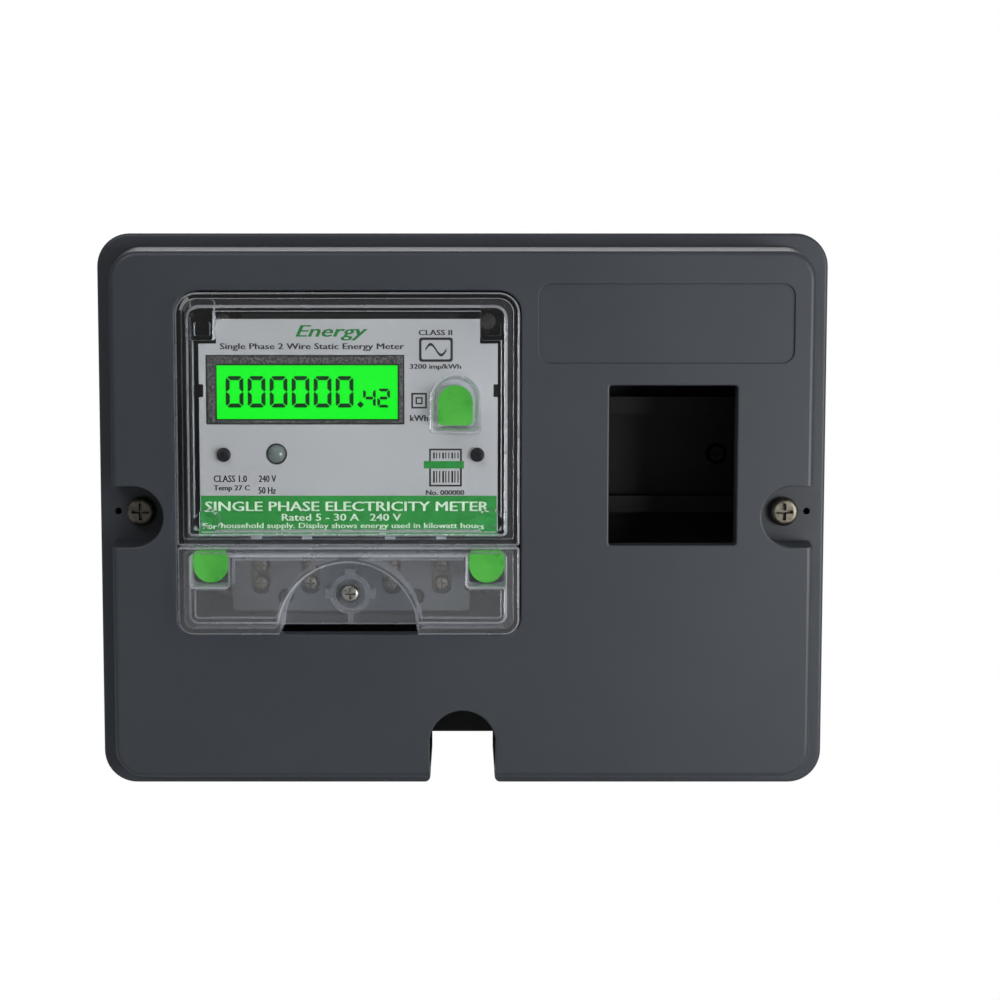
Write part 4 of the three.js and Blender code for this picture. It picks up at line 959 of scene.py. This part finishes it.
def makeTerminalCover():
    v = clearValues
    low, high = boxOf("terminal_cover")
    half = (high.x - low.x) / 2
    bottom, top = low.z - meterZ, high.z - meterZ
    shell, hollow = clearShell("terminal_cover_shell", bottom, top, 0.8, v["bottomRadius"], v["stepInset"],
                               v["lidInset"], half)
    floor, floorBack = v["archFloor"], v["archFloor"] + v["archFloorThickness"]
    cutWith(hollow, meterPlate("arch_keep", [archLoop(v["archRadius"], 3)], -3, floorBack))
    wall = v["wellWall"]
    for side in (-1, 1):
        x = side * v["lowWellX"]
        cutWith(hollow, meterPlate("well_keep", [roundLoop(
            x - v["lowWellHalf"], v["lowWellBottom"], x + v["lowWellHalf"], top - 0.3, 1.5, 0.5)],
            -3, v["wellFloor"] + wall))
    cutWith(shell, hollow)
    for side in (-1, 1):
        x = side * v["lowWellX"]
        well = meterPlate("well", [roundLoop(
            x - v["lowWellHalf"] + wall, v["lowWellBottom"] + wall, x + v["lowWellHalf"] - wall,
            top - v["lowWellTopWall"] - 0.9, 1, 0.6)], -3, v["wellFloor"])
        growFace(well, meterY + v["wellFloor"], -0.3, side=1)
        lipCutter(well, meterY - v["stepHeight"], 1, 4)
        cutWith(shell, well)
    arch = meterPlate("arch", [archLoop(v["archRadius"] - v["archWall"], 3)], -3, floor)
    growFace(arch, meterY + floor, -0.8, side=1)
    lipCutter(arch, meterY - v["stepHeight"], 1, 4)
    cutWith(shell, arch)
    inner = archLoop(v["archRadius"] - v["archWall"], 0)[1][0]
    cutWith(shell, meterBox("mouth", -inner, -v["stepHeight"] - 1, bottom - 1, inner, v["skirt"] + 1,
                            bottom + v["archLip"]))
    cutWith(shell, meterBox("divider_room", -half + v["wall"], 7, top - v["wall"] - 1, half - v["wall"],
                            v["skirt"] + 1, top + 1))
    screwZ = bottom + v["screwAbove"]
    ringFront = floor - v["ringHeight"]
    ring = meterPlate("screw_ring", [circleLoop(0, screwZ, v["ringRadius"], 48),
                                     circleLoop(0, screwZ, v["ringRadius"] - v["ringWall"], 48)],
                      ringFront, floor + 0.5)
    uniteWith(shell, ring)
    for name, x0, z0, x1, z1 in (
            ("web", -v["web"] / 2, bottom + v["archLip"] + 0.3, v["web"] / 2, screwZ - v["ringRadius"] + 0.4),
            ("lug_left", -v["ringRadius"] - 1.4, screwZ - 1.3, -v["ringRadius"] + 0.4, screwZ + 1.3),
            ("lug_right", v["ringRadius"] - 0.4, screwZ - 1.3, v["ringRadius"] + 1.4, screwZ + 1.3),
            ("lug_top", -1.4, screwZ + v["ringRadius"] - 0.4, 1.4, screwZ + v["ringRadius"] + 1.2)):
        uniteWith(shell, meterBox(name, x0, ringFront, z0, x1, floor + 0.5, z1))
    cutWith(shell, meterRod("screw_hole", 1.8, ringFront - 1, floorBack + 1, 0, screwZ, 24))
    for node in ("cover_seal_left", "cover_seal_right"):
        x = middleOf(node)[0] - meterX
        cutWith(shell, *legHoles(x + math.copysign(v["lowSealOut"], x), sealMiddle(node)))
    smooth(shell, 30)
    finish(shell, paint["hazy"], "terminal_lid", ["terminal_cover"])

    def reach(c, z):
        return math.hypot(c.x - meterX, c.z - z)

    frostEdges(
        shell,
        lambda c: c.y < meterY + v["frostDepth"] or reach(c, low.z) < v["archFrostRadius"],
        lambda c: abs(c.y - meterY - ringFront) < near and reach(c, screwZ + meterZ) < v["ringMilkyRadius"],
        paint["milky"])


makeMeterCover()
makeTerminalCover()
print("clear covers done")


# green seals

sealValues = {"fillet": 0.6, "shell": 1.2, "legHalfThickness": 0.6, "legHalfWidth": 1.2}


def makeSeal(node, body, up):
    v = sealValues
    low, high = boxOf(node)
    front = low.y
    back = meterY + clearValues["wellFloor"] - 0.3
    x, middle = middleOf(node)
    halfWidth, height = (high.x - low.x) / 2, high.z - low.z
    if not up:
        x += math.copysign(clearValues["lowSealOut"], x - meterX)
    flatZ = low.z if up else high.z
    cap = flatPiece(node + "_cap", [dLoop(x, halfWidth, flatZ, height, up, 1.4)], front, back)
    roundFront(cap, front, v["fillet"], 4)
    turn = 1 if up else -1
    cutWith(cap, flatPiece("hollow", [dLoop(x, halfWidth - v["shell"], flatZ + turn * v["shell"],
                                            height - 2 * v["shell"], up)], front + v["shell"], back + 1))
    thick, wide = v["legHalfThickness"], v["legHalfWidth"]
    for side in (-1, 1):
        legX = x + side * clearValues["legSpacing"] / 2
        leg = addBox("leg", (legX - thick, front + v["shell"] / 2, middle - wide),
                     (legX + thick, high.y, middle + wide))
        roundFront(leg, high.y, 0.3, 2)
        uniteWith(cap, leg)
    smooth(cap, 35)
    return finish(cap, paint["seal"], body, [node])


makeSeal("cover_seal_top", "cover_seal_top_cap", True)
makeSeal("cover_seal_left", "cover_seal_left_cap", False)
makeSeal("cover_seal_right", "cover_seal_right_cap", False)
print("seals done")


# label plate and its print

displayValues = {
    "frameFlange": 1, "flangeDepth": 1.2, "frontChamfer": 0.5, "viewMargin": 0.5, "viewLip": 0.7,
    "bottomTrim": 0.5, "room": 0.3, "innerMargin": 0.4,
    "lampRadius": 2.75, "lampRounding": 0.96, "collarFront": 6.3, "collarBack": 5.1, "shadeRingWidth": 0.15,
}


def makeDisplaySurround():
    v = displayValues
    low, high = boxOf("display_frame")
    glassLow, glassHigh = boxOf("lcd_glass")
    plateLow, plateHigh = boxOf("label_plate")
    edge, room = v["frameFlange"], v["room"]
    surround = addBox("display_surround", (low.x + edge, low.y, low.z + edge + v["bottomTrim"]),
                      (high.x - edge, high.y, high.z - edge))
    roundCorners(surround, 0.4, 3)
    roundFront(surround, low.y, v["frontChamfer"], 3)
    flange = addBox("flange", (low.x, plateHigh.y + room, low.z),
                    (high.x, plateHigh.y + room + v["flangeDepth"], high.z))
    uniteWith(surround, flange)
    margin, lip = v["viewMargin"], v["viewLip"]
    view = addBox("view", (glassLow.x + margin, low.y + lip, glassLow.z + margin),
                  (glassHigh.x - margin, high.y + 1, glassHigh.z - margin))
    cutWith(surround, lipCutter(view, low.y, lip))
    cutWith(surround, addBox("glass_room", (glassLow.x - room, glassLow.y - room, glassLow.z - room),
                             (glassHigh.x + room, high.y + 1, glassHigh.z + room)))
    smooth(surround, 30)
    finish(surround, paint["frame"], "housing", ["display_frame"])
    # the inner walls of the view opening take the black box plastic in a second slot: painted shade, a dark
    # band standing in for the shadow on those walls round the crystal
    surround.data.materials.append(paint["base"])
    for face in surround.data.polygons:
        c = face.center / unit
        inside = all(glassLow[i] - v["innerMargin"] < c[i] < glassHigh[i] + v["innerMargin"] for i in (0, 2))
        if inside and abs(face.normal.y) < 0.97:
            face.material_index = 1


def makePulseLamp():
    v = displayValues
    low, high = boxOf("pulse_led")
    x, z = middleOf("pulse_led")
    radius = v["lampRadius"]
    lens = addRod("pulse_lamp_lens", radius, low.y, high.y, x, z, 48)
    roundFront(lens, low.y, radius * v["lampRounding"], 12)
    collar = addRod("collar", (high.x - low.x) / 2, high.y - v["collarFront"], high.y - v["collarBack"],
                    x, z, 48)
    uniteWith(lens, collar)
    smooth(lens, 40)
    finish(lens, paint["lamp"], "housing", ["pulse_led"])
    plateLow, plateHigh = boxOf("label_plate")
    hole = plateValues["lampHole"]
    # a thin ring of black ink on the plate round the lamp hole: painted shade at the hole's edge
    rim = flatPiece("pulse_lamp_shade_ring",
                    [circleLoop(x, z, hole + v["shadeRingWidth"], 40), circleLoop(x, z, hole, 40)],
                    plateLow.y - 0.03, plateLow.y - 0.005)
    finish(rim, paint["blackInk"], "housing")


plateValues = {
    "cornerNotch": (5, 6.9), "sideNotch": (1.2, 3.6), "sideNotchAbove": 20.5,
    "frameFlange": 1, "windowMargin": 0.3, "lampHole": 2.85, "screwHole": 1.5,
    "bandHeight": 9.9, "bandBottom": 0.3,
}


def makeLabelPlate():
    v = plateValues
    low, high = boxOf("label_plate")
    frameLow, frameHigh = boxOf("display_frame")
    notchX, notchZ = v["cornerNotch"]
    sideX, sideZ = v["sideNotch"]
    middle = meterZ + v["sideNotchAbove"]
    outline = [(low.x, low.z), (high.x, low.z),
               (high.x, middle - sideZ / 2), (high.x - sideX, middle - sideZ / 2),
               (high.x - sideX, middle + sideZ / 2), (high.x, middle + sideZ / 2),
               (high.x, high.z - notchZ), (high.x - notchX, high.z - notchZ), (high.x - notchX, high.z),
               (low.x + notchX, high.z), (low.x + notchX, high.z - notchZ), (low.x, high.z - notchZ),
               (low.x, middle + sideZ / 2), (low.x + sideX, middle + sideZ / 2),
               (low.x + sideX, middle - sideZ / 2), (low.x, middle - sideZ / 2)]
    gap = v["windowMargin"] - v["frameFlange"]
    window = boxLoop(frameLow.x - gap, frameLow.z - gap + displayValues["bottomTrim"],
                     frameHigh.x + gap, frameHigh.z + gap)
    loops = [outline, window, circleLoop(*middleOf("pulse_led"), v["lampHole"], 32)]
    for node in ("label_screw_left", "label_screw_right"):
        loops.append(circleLoop(*middleOf(node), v["screwHole"], 20))
    plate = flatPiece("label_plate_sheet", loops, low.y, high.y)
    softEdges(plate, 0.12, 2)
    smooth(plate, 35)
    return finish(plate, paint["plate"], "housing", ["label_plate"])


# words, middle x and z, height, width and boldness of each line of print
blackLines = (
    ("Single Phase 2 Wire Static Energy Meter", -42.2, 47.7, 2.2, 51.6, 0.09),
    ("CLASS II", -7.6, 51.8, 1.5, 9.3, 0.09),
    ("3200 imp/kWh", -7.6, 42.1, 1.8, 14.3, 0.08),
    ("kWh", -12.2, 27.8, 1.7, 5, 0.1),
    ("CLASS 1.0", -65.5, 10.7, 1.9, 9.3, 0.08),
    ("Temp 27 C", -65.1, 7.9, 1.9, 10.1, 0.08),
    ("240 V", -55, 10.7, 1.9, 4.8, 0.08),
    ("50 Hz", -55.1, 7.4, 1.9, 4.8, 0.08),
    ("No. 000000", -4.9, 6.8, 1.4, 10.7, 0.09),
)
whiteLines = (
    ("SINGLE PHASE ELECTRICITY METER", -32.6, 2.9, 2.7, 80, 0.11),
    ("Rated 5 - 30 A   240 V", -34.2, -0.2, 2, 33.6, 0.07),
    ("For household supply. Display shows energy used in kilowatt hours", -33.5, -2.8, 2, 79, 0.06),
)
printValues = {
    "inkFront": 0.025, "inkBack": 0.005, "bandFront": 0.03, "onBand": 0.035, "bandMargin": 0.25,
    "barCount": 9, "barFirst": -8.3, "barPitch": 0.86, "thinBar": 0.3, "thickBar": 0.5,
}


def makePrint():
    v = printValues
    low, high = boxOf("label_plate")
    front = low.y

    def inked(name, loops, raised=v["inkFront"]):
        return flatPiece(name, loops, front - raised, front - v["inkBack"])

    def lines(rows, level):
        return [printText("line", words, x, z, height, level, width, 0, bold)
                for words, x, z, height, width, bold in rows]

    bandLow = low.z + plateValues["bandBottom"]
    green = [inked("band", [boxLoop(low.x + v["bandMargin"], bandLow, high.x - v["bandMargin"],
                                    bandLow + plateValues["bandHeight"])], v["bandFront"])]
    name = [printText("name", "Energy", -36.7, 51.7, 4.3, front, 20, 0.3, 0.16)]
    black = lines(blackLines, front)

    # alternating current in a frame, the sign of double insulation, and a plain bar pattern
    black.append(inked("frame", [roundLoop(-12.2, 43.6, -2.7, 50.4, 0.8),
                                 roundLoop(-11.5, 44.3, -3.4, 49.7, 0.5)]))
    wave = [(-10.4 + 5.9 * i / 24, 47 + 1.5 * math.sin(2 * math.pi * i / 24)) for i in range(25)]
    black.append(inked("wave", [[(x, z + 0.4) for x, z in wave] + [(x, z - 0.4) for x, z in reversed(wave)]]))
    black.append(inked("outer", [boxLoop(-14.4, 30.5, -10, 34.9), boxLoop(-13.9, 31, -10.5, 34.4)]))
    black.append(inked("inner", [boxLoop(-13.2, 31.7, -11.2, 33.7), boxLoop(-12.8, 32.1, -11.6, 33.3)]))
    black.append(inked("panel", [boxLoop(-9.4, 8.5, -0.2, 19.2), boxLoop(-8.9, 9, -0.7, 18.7)]))
    for i in range(v["barCount"]):
        x = v["barFirst"] + v["barPitch"] * i
        width = v["thinBar"] if i % 3 else v["thickBar"]
        black.append(inked("bar", [boxLoop(x, 9.6, x + width, 12.9)]))
        black.append(inked("bar", [boxLoop(x, 16.4, x + width, 18.1)]))
    green.append(inked("stripe", [boxLoop(-10.9, 13.6, 0.4, 15.7)]))
    white = lines(whiteLines, front - v["onBand"])
    for colour, pieces in (("green", green), ("name", name), ("black", black), ("white", white)):
        finish(joinAll("label_print_" + colour, pieces), paint[colour + "Ink"], "housing")


makeLabelPlate()
makeDisplaySurround()
makePulseLamp()
makePrint()
print("label and display frame done")


# display digits

digitValues = {
    "first": -66.7, "pitch": 6.2, "width": 5, "bottom": 30.7, "height": 8.85, "stroke": 1.15, "gap": 0.18,
    "smallWidth": 3.55, "smallHeight": 5.35, "smallStroke": 0.8, "smallGap": 0.14,
    "smallFirst": -28.0, "smallSecond": -24.0, "dotX": -28.75, "dotSize": 1.95,
}


def segmentLoops(width, height, stroke, gap):
    half = height / 2
    close, far = 0.3 * stroke, 0.6 * stroke

    def across(z, turn):
        points = [(close + gap, close), (far + gap, 0), (width - far - gap, 0), (width - close - gap, close),
                  (width - stroke - gap, stroke), (stroke + gap, stroke)]
        return [(x, z + turn * d) for x, d in points]

    def upright(x, turn, z0, z1):
        # the outer end meets the head or the foot, the inner end the middle bar
        outer, inner, up = (z0, z1, 1) if abs(z1 - half) < near else (z1, z0, -1)
        points = [(close, outer + up * (close + gap)), (0, outer + up * (far + gap)), (0, inner - up * gap),
                  (stroke * 0.35, inner - up * gap * 0.5), (stroke, inner - up * (stroke * 0.6 + gap)),
                  (stroke, outer + up * (stroke + gap))]
        return [(x + turn * d, z) for d, z in points]

    bar = 0.5 * stroke
    middle = [(stroke * 0.55 + gap, half), (stroke + gap, half + bar), (width - stroke - gap, half + bar),
              (width - stroke * 0.55 - gap, half), (width - stroke - gap, half - bar),
              (stroke + gap, half - bar)]
    return {
        "foot": across(0, 1), "head": across(height, -1), "middle": middle,
        "lowLeft": upright(0, 1, 0, half), "highLeft": upright(0, 1, half, height),
        "lowRight": upright(width, -1, 0, half), "highRight": upright(width, -1, half, height),
    }


shapes = {
    "0": ("foot", "head", "lowLeft", "highLeft", "lowRight", "highRight"),
    "4": ("middle", "highLeft", "highRight", "lowRight"),
    "2": ("head", "highRight", "middle", "lowLeft", "foot"),
}


def makeDigits():
    v = digitValues
    low, high = boxOf("lcd_glass")
    front = low.y
    pieces = []

    def digit(sign, x, z, width, height, stroke, gap):
        loops = segmentLoops(width, height, stroke, gap)
        for key in shapes[sign]:
            pieces.append(flatPiece("segment", [[(x + px, z + pz) for px, pz in loops[key]]],
                                    front - 0.04, front - 0.01))

    for i in range(6):
        digit("0", v["first"] + i * v["pitch"], v["bottom"], v["width"], v["height"], v["stroke"], v["gap"])
    for sign, x in (("4", v["smallFirst"]), ("2", v["smallSecond"])):
        digit(sign, x, v["bottom"], v["smallWidth"], v["smallHeight"], v["smallStroke"], v["smallGap"])
    r, x = v["dotSize"] / 2, v["dotX"]
    z = v["bottom"] + 0.85
    pieces.append(flatPiece("point", [[(x - r, z), (x, z - r), (x + r, z), (x, z + r)]],
                            front - 0.04, front - 0.01))
    finish(joinAll("display_digits", pieces), paint["digitInk"], "housing")


makeDigits()
print("digits done")


# screws

# each a share of the head's radius or height
screwValues = {"crossWidth": 0.3, "crossLength": 1.25, "crossDepth": 0.7, "crossTaper": 0.6, "dome": 0.55}


def makeScrew(node, body, headRadius, headHeight, shankRadius, material):
    # a domed head with a cross recess, and a shank with a bevelled end
    low, high = boxOf(node)
    x, z = middleOf(node)
    under = low.y + headHeight
    head = addRod(node + "_turned", headRadius, low.y, under, x, z, 48)
    roundFront(head, low.y, headHeight * screwValues["dome"], 6)
    roundFront(head, under, 0.15, 2)
    thick = headRadius * screwValues["crossWidth"] / 2
    reach = headRadius * screwValues["crossLength"] / 2
    foot = low.y + headHeight * screwValues["crossDepth"]
    for wide, tall in ((reach, thick), (thick, reach)):
        arm = addBox("arm", (x - wide, low.y - 1, z - tall), (x + wide, foot, z + tall))
        growFace(arm, foot, -min(wide, tall) * screwValues["crossTaper"], side=1)
        cutWith(head, arm)
    shank = addRod("shank", shankRadius, under - 0.4, high.y, x, z, 24)
    roundFront(shank, high.y, shankRadius * 0.35, 2)
    uniteWith(head, shank)
    smooth(head, 32)
    return finish(head, material, body, [node])


for side in ("left", "right"):
    makeScrew("cover_screw_" + side, "cover_screw_" + side + "_turn", 4.15, 2.6, 1.9,
              paint["dullZinc"])
makeScrew("terminal_cover_screw", "terminal_cover_screw_turn", 2.6, 2, 1.4, paint["zinc"])
for index in (1, 2, 3, 4):
    for level in ("upper", "lower"):
        name = f"clamp_screw_{index}_{level}"
        makeScrew(name, name + "_turn", 2.25, 2.4, 1.8, paint["brass"])
for side in ("left", "right"):
    makeScrew("label_screw_" + side, "housing", 2, 1.4, 1.1, paint["blackSteel"])
print("screws done")
